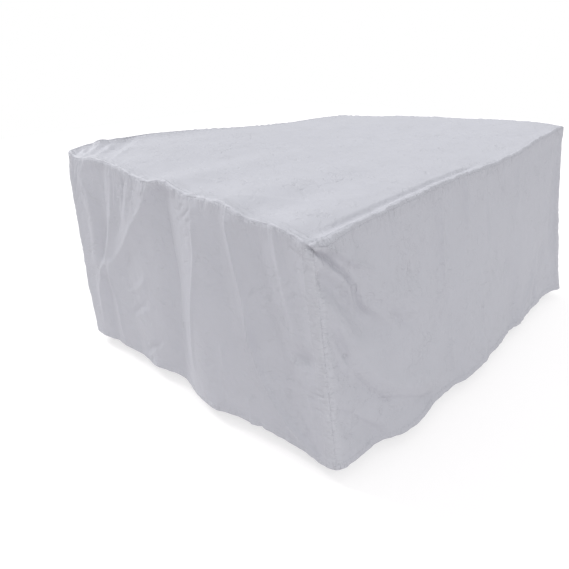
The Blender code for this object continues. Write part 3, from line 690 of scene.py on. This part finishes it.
def loose_relief(index, along, below):
    """Folds, creases and wrinkles of a wall, as they would be far from its seams."""
    wall = WALLS[index]
    relief = fold_relief(wall.folds, along, below)
    relief += fold_relief(wall.creases, along, below)
    patch_seed = WALL_PATCH_SEED + WALL_PATCH_STEP * index
    relief += patch_relief(wall.patches, patch_seed, along, below)
    hanging = wave(GATHERS, index, along + wave(GATHER_SWAY, index, below))
    strength = wave(GATHER_STRENGTH, index, along)
    relief += wall.gather * strength * hanging * np.exp(-below / GATHER_REACH)
    soft = dents(WIDE_DENTS, index, along, below) + dents(SMALL_DENTS, index, along, below)
    relief += wall.crumple * soft
    ridged = np.abs(dents(RIDGED_DENTS, index, along, below))
    relief += WALL_RIDGES * wall.crumple * (RIDGE_LEVEL - ridged)
    return relief


def tucks(index, along, below, from_seam, below_seam):
    """How far the seams draw a wall in, and how far it hangs behind the rim."""
    away = smooth_step((from_seam - TUCK_CLEAR) / TUCK_RAMP)
    rim = wave(RIM_TUCK_SHARE, index, along) * bell(below_seam / SEAM_TUCK_REACH)
    under = wave(UNDER_RIM_SHARE, index, along) * np.exp(-below_seam / UNDER_RIM_REACH)
    corner = wave(CORNER_TUCK_SHARE, 0, below) * bell(from_seam / SEAM_TUCK_REACH)
    return RIM_TUCK * away * rim + UNDER_RIM * away * under + CORNER_TUCK * corner


def wall_relief(index, along, below, down, drop):
    """How far a wall stands out from the flat sheet between its rim and its hem."""
    length = wall_length(index)
    from_seam = np.minimum(along, length - along)
    below_seam = np.maximum(below - RIM_ROLL, 0.0)
    above_hem = drop - below
    relief = loose_relief(index, along, below) * smooth_step(from_seam / SEAM_FADE)
    relief *= RIM_HOLD + (1 - RIM_HOLD) * smooth_step(below_seam / RIM_FADE)
    relief += curve_through(WALLS[index].hem, 1, along / length) * down ** HEM_FLARE
    relief += near_corner_relief(index, along, below)
    relief += wave(HEM_WAVE, index, along) * np.exp(-above_hem / HEM_WAVE_REACH)
    relief += rim_puckers(index, along) * np.exp(-below_seam / RIM_WANDER_REACH)
    for corner, gap in ((index, along), ((index + 1) % 4, length - along)):
        relief += corner_puckers(corner, below) * np.exp(-gap / CORNER_WANDER_REACH)
    relief -= tucks(index, along, below, from_seam, below_seam)
    lapped = length - along
    band = smooth_step((BAND_WIDTH - lapped) / BAND_EDGE) * smooth_step(lapped / BAND_SEAM)
    return relief + BAND_RISE * band + HEM_RISE * smooth_step((HEM_BAND - above_hem) / HEM_EDGE)


def wall_surface(index, along, below):
    """Points of a wall's inner face. `below` is the distance down from the rim."""
    rim_z, drop = wall_height(index, along)
    down = np.clip(below / drop, 0.0, 1.0)
    place, outward = wall_path(index, along, down)
    relief = SHEET_OUT + wall_relief(index, along, np.minimum(below, drop), down, drop)
    turned = np.maximum(below - drop, 0.0) / HEM_ROLL
    relief -= HEM_ROLL * (1 - np.cos(turned))
    low = np.minimum(below, drop) + HEM_ROLL * np.sin(turned)
    plan = place + outward * relief[..., None]
    return np.concatenate([plan, (rim_z - low)[..., None]], axis=-1)


# ---- the shape of the top
def top_height(x, y):
    """Height of the top between its uneven rims."""
    u = np.clip(x / LENGTH + 0.5, 0, 1)
    v = np.clip(y / WIDTH + 0.5, 0, 1)
    z = [corner.rim_z for corner in CORNERS]
    height = (z[0] * (1 - u) + z[1] * u) * (1 - v) + (z[3] * (1 - u) + z[2] * u) * v
    for index, (share, near) in enumerate(((u, 1 - v), (v, u), (1 - u, v), (1 - v, 1 - u))):
        start, end = z[index], z[(index + 1) % 4]
        rim = curve_through(WALLS[index].rim, 1, share * wall_length(index))
        height = height + (rim - start - (end - start) * share) * near ** RIM_INFLUENCE
    return height


def rim_edge(index, along):
    """Points of the sharp rim, towards which the roll of the top swings out."""
    place, outward = rim_path(index, along)
    rim_z = curve_through(WALLS[index].rim, 1, along)
    at_seam = np.full_like(along, RIM_ROLL)
    pulled = 0.5 * near_corner_relief(index, along, at_seam)
    wander = ROLL_OUT + rim_puckers(index, along) + pulled
    return np.concatenate([place + outward * wander[:, None], rim_z[:, None]], axis=1)


def rim_bead(x, y):
    """The raised seam along the rim, and the groove that it leaves inside it."""
    gaps = (y + WIDTH / 2, LENGTH / 2 - x, WIDTH / 2 - y, x + LENGTH / 2)
    alongs = (x + LENGTH / 2, y + WIDTH / 2, LENGTH / 2 - x, WIDTH / 2 - y)
    rise = np.zeros_like(x)
    for index, (gap, along) in enumerate(zip(gaps, alongs)):
        to_end = wall_length(index) - along
        clear = smooth_step(along / SEAM_START) * smooth_step(to_end / SEAM_START)
        bead = wave(BEAD, index, along)
        groove = wave(GROOVE, index, along)
        if index == 0:
            pulled = np.exp(-along / PULL_REACH)
            bead = bead + PULLED_BEAD * pulled + FRONT_BEAD
            front = smooth_step((FRONT_GROOVE_END - along) / FRONT_GROOVE_FADE)
            groove = groove + PULLED_GROOVE * pulled + FRONT_GROOVE * front
            groove = groove * wave(FRONT_GROOVE_SHARE, 0, along)
        rise += clear * bead * bell((gap - BEAD_IN) / BEAD_HALF)
        rise -= clear * groove * bell((gap - GROOVE_IN) / GROOVE_HALF)
        rise += clear * wave(TOP_GATHERS, index, along) * np.exp(-gap / GATHER_IN)
    return rise


def top_surface(x, y):
    """Points of the top's underside."""
    middle = top_height(np.zeros(1), np.zeros(1))[0]
    sag = bell(np.hypot(x, y) / TOP_SAG_REACH)
    z = top_height(x, y) - middle * sag + SHEET_OUT
    z += fold_relief(TOP_FOLDS, x, y) + fold_relief(TOP_CREASES, x, y) + rim_bead(x, y)
    z += dents(TOP_WIDE_DENTS, 0, x, y) + dents(TOP_SMALL_DENTS, 0, x, y)
    across, deep = (x - y) / sqrt(2), (x + y) / sqrt(2)
    ridged = np.abs(dents(TOP_RIDGED_DENTS, 0, across, deep))
    z += TOP_RIDGE_DEPTH * (TOP_RIDGE_LEVEL - ridged)
    z += patch_relief(TOP_PATCHES, TOP_PATCH_SEED, x, y)
    return np.stack([x, y, z], axis=-1)


# ---- making the sheets
def grid_sheet(name, columns, rows):
    """A flat grid of the given numbers of points, and each point's column and row."""
    bpy.ops.mesh.primitive_grid_add(x_subdivisions=columns - 1, y_subdivisions=rows - 1, size=2.0)
    sheet = bpy.context.object
    sheet.name = name
    sheet.data.name = name
    flat = np.empty(len(sheet.data.vertices) * 3)
    sheet.data.vertices.foreach_get("co", flat)
    flat = flat.reshape(-1, 3)
    column = np.rint((flat[:, 0] + 1) / 2 * (columns - 1)).astype(int)
    row = np.rint((1 - flat[:, 1]) / 2 * (rows - 1)).astype(int)
    sheet.data.uv_layers.remove(sheet.data.uv_layers[0])
    return sheet, column, row


def shape_sheet(sheet, points):
    """Move the sheet's points to the given places."""
    sheet.data.vertices.foreach_set("co", points.ravel())
    sheet.data.update()


def write_pattern(sheet, name, u, v):
    """Give each point of the sheet two lengths in metres, as a UV map."""
    mesh = sheet.data
    layer = mesh.uv_layers.new(name=name)
    corners = np.empty(len(mesh.loops), int)
    mesh.loops.foreach_get("vertex_index", corners)
    layer.uv.foreach_set("vector", np.stack([u[corners], v[corners]], axis=1).ravel())


def thicken(sheet):
    """Give the sheet its thickness outwards."""
    wall = sheet.modifiers.new("cloth", "SOLIDIFY")
    wall.thickness = CLOTH
    wall.offset = 1.0
    wall.use_rim = True
    sheet.data.shade_smooth()
    bpy.context.view_layer.objects.active = sheet
    bpy.ops.object.modifier_apply(modifier="cloth")


def lap_edges(index, places, points, place, down):
    """Push a wall's first edge behind its neighbour, and its upper edge behind the top."""
    outward = wall_path(index, places[0] + np.zeros_like(down), down)[1]
    behind = unit(points[place[0]] - points[place[1]]) * LAP_BEHIND
    behind[:, :2] -= outward * LAP_UNDER
    points[place[0]] += behind
    outward = rim_path(index, places)[1]
    behind = unit(rim_edge(index, places) - points[place[:, 0]]) * RIM_LAP
    behind[:, :2] -= outward * LAP_UNDER
    points[place[:, 0]] += behind


def sew_wall(index):
    """A wall: a fine grid that runs from the rim seam to the turned edge of its hem."""
    wall = WALLS[index]
    places = graded(wall_length(index), wall.fine, wall.coarse, wall.spots, FINE_REACH)
    shares = graded(1.0, wall.fine_row / DROP, wall.coarse_row / DROP, (0.0,), ROW_FINE_REACH)
    turned = HEM_ROLL * np.array(HEM_TURNS) * pi
    sheet, column, row = grid_sheet(wall.name + "_cloth", len(places), len(shares) + len(turned))
    along = places[column]
    drop = wall_height(index, along)[1]
    below = RIM_ROLL + (drop - RIM_ROLL) * shares[np.minimum(row, len(shares) - 1)]
    past = np.maximum(row - len(shares) + 1, 0)
    below += np.concatenate([[0.0], turned])[past]
    points = wall_surface(index, along, below)
    place = np.empty((column.max() + 1, row.max() + 1), int)
    place[column, row] = np.arange(len(points))
    lap_edges(index, places, points, place, np.clip(below / drop, 0.0, 1.0)[place[0]])
    shape_sheet(sheet, points)
    write_pattern(sheet, "flat_cut", along, below)
    write_pattern(sheet, "seam_gap", np.minimum(along, wall_length(index) - along),
                  np.minimum(below - RIM_ROLL, np.maximum(drop - below, 0.0)))
    thicken(sheet)
    return sheet


def turn_down(mesh, edge_loop, places):
    """Extrude the sheet's edge once, to `places`, and return the new edge loop."""
    order = {vert: i for i, vert in enumerate(edge_loop)}
    rim = [edge for edge in mesh.edges if edge.is_boundary]
    grown = bmesh.ops.extrude_edge_only(mesh, edges=rim)["geom"]
    new_loop = list(edge_loop)
    for vert in (item for item in grown if isinstance(item, bmesh.types.BMVert)):
        linked = (edge.other_vert(vert) for edge in vert.link_edges)
        place = next(order[other] for other in linked if other in order)
        vert.co = places[place]
        new_loop[place] = vert
    return new_loop


def roll_over_rim(sheet, loop, shoulder, rims):
    """Grow the sheet's edge over the sharp rim and down to the seam, ring by ring."""
    sharp = np.concatenate([rim_edge(index, along) for index, along in enumerate(rims)])
    seam = np.concatenate([wall_surface(index, along, np.full_like(along, RIM_ROLL))
                           for index, along in enumerate(rims)])
    mesh = bmesh.new()
    mesh.from_mesh(sheet.data)
    mesh.verts.ensure_lookup_table()
    edge_loop = [mesh.verts[i] for i in loop]
    for step in range(1, ROLL_RINGS + 1):
        t = step / ROLL_RINGS
        ring = (1 - t) ** 2 * shoulder + 2 * t * (1 - t) * sharp + t ** 2 * seam
        edge_loop = turn_down(mesh, edge_loop, ring)
    mesh.to_mesh(sheet.data)
    mesh.free()


def top_plan(rims, column, row):
    """Plan positions of the top's grid, blended between the starts of its four rolls."""
    sides = []
    for index, along in enumerate(rims):
        place, outward = rim_path(index, along)
        sides.append(place - outward * ROLL_IN)
    front, right, back, left = sides
    u, v = (rims[0][column] / LENGTH)[:, None], (rims[1][row] / WIDTH)[:, None]
    return ((1 - v) * front[column] + v * back[column] + (1 - u) * left[row] + u * right[row]
            - (1 - u) * (1 - v) * front[0] - u * (1 - v) * front[-1]
            - (1 - u) * v * back[0] - u * v * back[-1])


def sew_top():
    """The top: a fine grid inside the rim, then a roll that turns down to the seam."""
    across = graded(LENGTH, TOP_FINE, TOP_COARSE, (0.0, LENGTH), TOP_FINE_REACH)
    deep = graded(WIDTH, TOP_FINE, TOP_COARSE, (0.0, WIDTH), TOP_FINE_REACH)
    rims = (across, deep, LENGTH - across, WIDTH - deep)
    sheet, column, row = grid_sheet("top_panel_cloth", len(across), len(deep))
    row = len(deep) - 1 - row
    plan = top_plan(rims, column, row)
    points = top_surface(plan[:, 0], plan[:, 1])
    shape_sheet(sheet, points)
    index_at = np.empty((len(across), len(deep)), int)
    index_at[column, row] = np.arange(len(points))
    loop = np.concatenate([index_at[:-1, 0], index_at[-1, :-1], index_at[:0:-1, -1],
                           index_at[0, :0:-1]])
    round_the_rim = (across[:-1], deep[:-1], rims[2][:0:-1], rims[3][:0:-1])
    roll_over_rim(sheet, loop, points[loop], round_the_rim)
    places = np.empty(len(sheet.data.vertices) * 3)
    sheet.data.vertices.foreach_get("co", places)
    x, y = places[0::3], places[1::3]
    rim_gap = np.minimum(LENGTH / 2 - np.abs(x), WIDTH / 2 - np.abs(y))
    write_pattern(sheet, "flat_cut", x, y)
    write_pattern(sheet, "seam_gap", np.full_like(x, 1.0), np.maximum(rim_gap, 0.0))
    thicken(sheet)
    return sheet


# ---- stitches
def stitch_shape():
    """One stitch: a slim rounded bar along X, as its points and faces."""
    bpy.ops.mesh.primitive_uv_sphere_add(segments=STITCH_SIDES, ring_count=STITCH_RINGS, radius=0.5)
    bar = bpy.context.object
    points = np.array([vert.co for vert in bar.data.vertices])
    points = points[:, (2, 0, 1)] * (STITCH_LENGTH, STITCH_WIDTH, STITCH_WIDTH * STITCH_FLAT)
    faces = [tuple(face.vertices) for face in bar.data.polygons]
    bpy.data.objects.remove(bar)
    return points, faces


def sew_stitches(name, rows, material):
    """Lay a stitch at every place of each row; a row is its points and outward normals."""
    shape, faces = stitch_shape()
    points, sides = [], []
    for places, normals in rows:
        heading = unit(np.gradient(places, axis=0))
        across = unit(np.cross(normals, heading))
        upright = np.cross(heading, across)
        spread = (shape[None, :, 0:1] * heading[:, None] + shape[None, :, 1:2] * across[:, None]
                  + shape[None, :, 2:3] * upright[:, None] + places[:, None])
        first = sum(len(part) for part in points)
        points.append(spread.reshape(-1, 3))
        sides += [tuple(first + step * len(shape) + i for i in face)
                  for step in range(len(places)) for face in faces]
    mesh = bpy.data.meshes.new(name)
    mesh.from_pydata(np.concatenate(points).tolist(), [], sides)
    mesh.shade_smooth()
    mesh.materials.append(material)
    thread = bpy.data.objects.new(name, mesh)
    bpy.context.scene.collection.objects.link(thread)
    return thread


def wall_row(index, along, below):
    """Points on a wall's outer face and the normals there."""
    here = wall_surface(index, along, below)
    run = wall_surface(index, along + PROBE, below) - wall_surface(index, along - PROBE, below)
    fall = wall_surface(index, along, below + PROBE) - wall_surface(index, along, below - PROBE)
    normal = unit(np.cross(fall, run))
    return here + normal * CLOTH, normal


def stitch_rows():
    """The rows of stitches: under the rim, beside the corner seams and above the hem."""
    rows = []
    for index in range(4):
        length = wall_length(index)
        along = np.arange(ROW_END, length - ROW_END, STITCH_PITCH)
        rows.append(wall_row(index, along, np.full_like(along, RIM_ROLL + RIM_ROW)))
        drop = wall_height(index, along)[1]
        rows.append(wall_row(index, along, drop - HEM_BAND + HEM_ROW))
        for gap in CORNER_ROWS:
            end = wall_height(index, np.array([length - gap]))[1][0]
            below = np.arange(RIM_ROLL + CORNER_ROW_TOP, end - CORNER_ROW_END, STITCH_PITCH)
            rows.append(wall_row(index, np.full_like(below, length - gap), below))
    return rows


# ---- materials
def add_node(tree, kind, links=(), **values):
    """A node whose named settings, or inputs, get the values, linked from (socket, input)."""
    node = tree.nodes.new(kind)
    for name, value in values.items():
        label = name.replace("_", " ").title()
        if hasattr(node, name):
            setattr(node, name, value)
        else:
            node.inputs[label].default_value = value
    for socket, name in links:
        tree.links.new(socket, node.inputs[name])
    return node


def effect(name, vectors, values, outputs):
    """An empty shader group with the given sockets, and its input and output nodes."""
    tree = bpy.data.node_groups.new(name, "ShaderNodeTree")
    for label in vectors:
        tree.interface.new_socket(label, in_out="INPUT", socket_type="NodeSocketVector")
    for label, start in values.items():
        socket = tree.interface.new_socket(label, in_out="INPUT", socket_type="NodeSocketFloat")
        socket.default_value = start
    for label in outputs:
        tree.interface.new_socket(label, in_out="OUTPUT", socket_type="NodeSocketFloat")
    return tree, tree.nodes.new("NodeGroupInput"), tree.nodes.new("NodeGroupOutput")


def combine(tree, operation, *terms):
    """A math node on sockets and plain numbers; gives its output socket."""
    node = tree.nodes.new("ShaderNodeMath")
    node.operation = operation
    for place, term in enumerate(terms):
        if isinstance(term, (int, float)):
            node.inputs[place].default_value = term
        else:
            tree.links.new(term, node.inputs[place])
    return node.outputs[0]


def stretched_noise(tree, vector, stretch, detail):
    """Noise that varies `stretch` times a metre along each axis; gives its socket."""
    mapping = add_node(tree, "ShaderNodeMapping", [(vector, "Vector")], scale=stretch)
    return add_node(tree, "ShaderNodeTexNoise", [(mapping.outputs[0], "Vector")],
                    scale=1.0, detail=detail).outputs["Fac"]


def woven_threads():
    """Fine plain weave with slubs: its height and where its threads are thick."""
    tree, start, end = effect("woven_threads", ["Cut"], {"Threads": THREADS}, ["Height", "Thick"])
    cut = start.outputs["Cut"]
    warp = stretched_noise(tree, cut, (THREADS, SLUBS, 1.0), 2.0)
    weft = stretched_noise(tree, cut, (SLUBS, THREADS, 1.0), 2.0)
    split = add_node(tree, "ShaderNodeSeparateXYZ", [(cut, "Vector")])
    turns = combine(tree, "MULTIPLY", start.outputs["Threads"], 2 * pi)
    waves = [combine(tree, "SINE", combine(tree, "MULTIPLY", split.outputs[axis], turns))
             for axis in "XY"]
    crossing = combine(tree, "MULTIPLY", *waves)
    thick = combine(tree, "ADD", warp, weft)
    tree.links.new(thick, end.inputs["Thick"])
    height = combine(tree, "MULTIPLY_ADD", crossing, CROSSINGS, thick)
    tree.links.new(height, end.inputs["Height"])
    return tree


def seam_puckers():
    """Short wrinkles that stand across a seam and die out away from it."""
    tree, start, end = effect("seam_puckers", ["Cut", "Gap"], {"Reach": PUCKER_SEAM},
                              ["Height", "Near"])
    gaps = add_node(tree, "ShaderNodeSeparateXYZ", [(start.outputs["Gap"], "Vector")])
    seams = (("X", (PUCKER_CHANGES, PUCKERS, 1.0), CORNER_PUCKERS),
             ("Y", (PUCKERS, PUCKER_CHANGES, 1.0), 1.0))
    heights, nearness = [], []
    for axis, stretch, share in seams:
        near = add_node(tree, "ShaderNodeMapRange",
                        [(gaps.outputs[axis], "Value"), (start.outputs["Reach"], "From Max")],
                        interpolation_type="SMOOTHSTEP", to_min=share, to_max=0.0)
        wrinkles = stretched_noise(tree, start.outputs["Cut"], stretch, 1.5)
        heights.append(combine(tree, "MULTIPLY", near.outputs["Result"], wrinkles))
        nearness.append(near.outputs["Result"])
    tree.links.new(combine(tree, "ADD", *heights), end.inputs["Height"])
    # nearness to an upright corner seam, which also sets the painted light beside it
    tree.links.new(nearness[0], end.inputs["Near"])
    return tree


def crumpling():
    """Small random creases of thin coated cloth, in loose patches."""
    tree, start, end = effect("crumpling", ["Place"], {"Size": CRUMPLES}, ["Height"])
    place = start.outputs["Place"]
    cloudy = add_node(tree, "ShaderNodeTexNoise", [(place, "Vector")], scale=PATCHES, detail=2.0)
    patchy = add_node(tree, "ShaderNodeMapRange", [(cloudy.outputs["Fac"], "Value")],
                      from_min=PATCH_FROM, from_max=PATCH_TO, to_min=PATCH_LEAST)
    folds = add_node(tree, "ShaderNodeTexNoise",
                     [(place, "Vector"), (start.outputs["Size"], "Scale")],
                     detail=3.0, roughness=0.55, distortion=0.6)
    middle = combine(tree, "SUBTRACT", folds.outputs["Fac"], 0.5)
    sharp = combine(tree, "ABSOLUTE", middle)
    height = combine(tree, "MULTIPLY_ADD", sharp, CREASE_EDGE, folds.outputs["Fac"])
    patched = combine(tree, "MULTIPLY", height, patchy.outputs["Result"])
    tree.links.new(patched, end.inputs["Height"])
    return tree


def mottling():
    """Soft cloudy unevenness, as a mask between 0 and 1."""
    tree, start, end = effect("mottling", ["Place"], {"Size": CLOUDS}, ["Mask"])
    clouds = add_node(tree, "ShaderNodeTexNoise",
                      [(start.outputs["Place"], "Vector"), (start.outputs["Size"], "Scale")],
                      detail=5.0)
    tree.links.new(clouds.outputs["Fac"], end.inputs["Mask"])
    return tree


def new_material(name):
    """A material, its node tree and its Principled shader."""
    material = bpy.data.materials.new(name)
    material.use_nodes = True
    tree = material.node_tree
    return material, tree, tree.nodes["Principled BSDF"]


def coated_cloth():
    """Matte silver grey coated cloth: a fine plain weave, slubs, puckers and soft mottling, with painted
    light that makes the bands beside the upright corner seams paler.
    """
    material, tree, shader = new_material("coated_cloth")
    link = tree.links.new
    cut = add_node(tree, "ShaderNodeUVMap", uv_map="flat_cut").outputs["UV"]
    gap = add_node(tree, "ShaderNodeUVMap", uv_map="seam_gap").outputs["UV"]
    place = add_node(tree, "ShaderNodeTexCoord").outputs["Object"]
    group = "ShaderNodeGroup"
    weave = add_node(tree, group, [(cut, "Cut")], node_tree=woven_threads(), threads=THREADS)
    puckers = add_node(tree, group, [(cut, "Cut"), (gap, "Gap")], node_tree=seam_puckers(),
                       reach=PUCKER_SEAM)
    crumple = add_node(tree, group, [(place, "Place")], node_tree=crumpling(), size=CRUMPLES)
    clouds = add_node(tree, group, [(place, "Place")], node_tree=mottling(), size=CLOUDS)
    mask = clouds.outputs["Mask"]
    shade = combine(tree, "MULTIPLY_ADD", weave.outputs["Thick"], THICK_TINT, mask)
    share = combine(tree, "SUBTRACT", shade, THICK_TINT)
    tint = add_node(tree, "ShaderNodeMix", [(share, "Factor")], data_type="RGBA",
                    a=CLOTH_DARK, b=CLOTH_PALE)
    # painted light: near an upright corner seam the colour is mixed towards a paler one, lightening the
    # band that the corner's turn leaves in shade
    near_seam = [(puckers.outputs["Near"], "Factor"), (tint.outputs["Result"], "A")]
    painted_light_band = add_node(tree, "ShaderNodeMix", near_seam, data_type="RGBA", b=CORNER_BAND_PAINTED_LIGHT)
    link(painted_light_band.outputs["Result"], shader.inputs["Base Color"])
    link(combine(tree, "MULTIPLY_ADD", mask, ROUGHER, SMOOTHEST), shader.inputs["Roughness"])
    height = combine(tree, "MULTIPLY", crumple.outputs["Height"], CRUMPLE_HEIGHT)
    for source, rise in ((puckers, PUCKER_HEIGHT), (weave, WEAVE_HEIGHT)):
        height = combine(tree, "MULTIPLY_ADD", source.outputs["Height"], rise, height)
    bump = add_node(tree, "ShaderNodeBump", [(height, "Height")], strength=1.0, distance=0.001)
    link(bump.outputs["Normal"], shader.inputs["Normal"])
    shader.inputs["Specular IOR Level"].default_value = SHINE
    return material


def plain_finish(name, colour, roughness):
    """A plain matte finish with a little unevenness."""
    material, tree, shader = new_material(name)
    place = add_node(tree, "ShaderNodeTexCoord").outputs["Object"]
    grain = add_node(tree, "ShaderNodeTexNoise", [(place, "Vector")], scale=GRAIN)
    tint = add_node(tree, "ShaderNodeValToRGB", [(grain.outputs["Fac"], "Fac")])
    tint.color_ramp.elements[0].color = (*[GRAIN_DARK * value for value in colour], 1.0)
    tint.color_ramp.elements[1].color = (*colour, 1.0)
    tree.links.new(tint.outputs["Color"], shader.inputs["Base Color"])
    shader.inputs["Roughness"].default_value = roughness
    return material


# ---- floor, light and camera
def lay_floor():
    """A plain pale floor that glows a little, so that it stays even."""
    bpy.ops.mesh.primitive_plane_add(size=FLOOR_SIZE, location=(0.0, 0.0, FLOOR_LEVEL))
    plane = bpy.context.object
    plane.name = "studio_floor"
    paint = plain_finish("floor_paint", FLOOR_COLOUR, FLOOR_ROUGHNESS)
    shader = paint.node_tree.nodes["Principled BSDF"]
    shader.inputs["Emission Color"].default_value = WHITE
    shader.inputs["Emission Strength"].default_value = FLOOR_GLOW
    plane.data.materials.append(paint)
    return plane


def light_sky():
    """A soft sky, brighter above, which the camera sees as plain white."""
    world = bpy.data.worlds.new("studio")
    bpy.context.scene.world = world
    world.use_nodes = True
    tree = world.node_tree
    sky = tree.nodes["Background"]
    sky.inputs["Color"].default_value = SKY_COLOUR
    direction = add_node(tree, "ShaderNodeTexCoord").outputs["Generated"]
    level = add_node(tree, "ShaderNodeSeparateXYZ", [(direction, "Vector")]).outputs["Z"]
    above = combine(tree, "MAXIMUM", level, 0.0)
    brightness = combine(tree, "MULTIPLY_ADD", above, SKY_RISE, SKY_LOW)
    tree.links.new(brightness, sky.inputs["Strength"])
    backdrop = add_node(tree, "ShaderNodeBackground", strength=1.0)
    backdrop.inputs["Color"].default_value = WHITE
    seen = add_node(tree, "ShaderNodeLightPath").outputs["Is Camera Ray"]
    either = add_node(tree, "ShaderNodeMixShader",
                      [(seen, "Fac"), (sky.outputs[0], 1), (backdrop.outputs[0], 2)])
    tree.links.new(either.outputs[0], tree.nodes["World Output"].inputs["Surface"])


def add_sun(strength, width, direction):
    """A soft sun that shines in the given direction."""
    bpy.ops.object.light_add(type="SUN")
    sun = bpy.context.object
    sun.data.energy = strength
    sun.data.angle = radians(width)
    sun.rotation_mode = "QUATERNION"
    sun.rotation_quaternion = Vector(direction).to_track_quat("-Z", "Y")


def add_camera():
    """The camera, at the photo's angle."""
    bpy.ops.object.camera_add(location=CAMERA_PLACE)
    camera = bpy.context.object
    heading, tilt = radians(CAMERA_HEADING), radians(CAMERA_TILT)
    look = Vector((cos(tilt) * cos(heading), cos(tilt) * sin(heading), sin(tilt)))
    roll = Quaternion((0.0, 0.0, 1.0), radians(CAMERA_ROLL))
    camera.rotation_mode = "QUATERNION"
    camera.rotation_quaternion = look.to_track_quat("-Z", "Y") @ roll
    camera.data.lens = CAMERA_LENS
    camera.data.sensor_width = CAMERA_SENSOR
    bpy.context.scene.camera = camera
    bpy.context.scene.view_settings.view_transform = "Standard"


# ---- the cover
cloth = coated_cloth()
sheets = {"top_panel": sew_top()}
for wall_index in range(4):
    sheets[WALLS[wall_index].name] = sew_wall(wall_index)
stitches = sew_stitches("seam_stitches", stitch_rows(),
                        plain_finish("sewing_thread", THREAD, THREAD_ROUGHNESS))
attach(stitches, "root")
for node, sheet in sheets.items():
    sheet.data.materials.clear()
    sheet.data.materials.append(cloth)
    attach(sheet, "root")
    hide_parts(node)

floor = lay_floor()
light_sky()
for strength, width, direction in SUNS:
    add_sun(strength, width, direction)
add_camera()
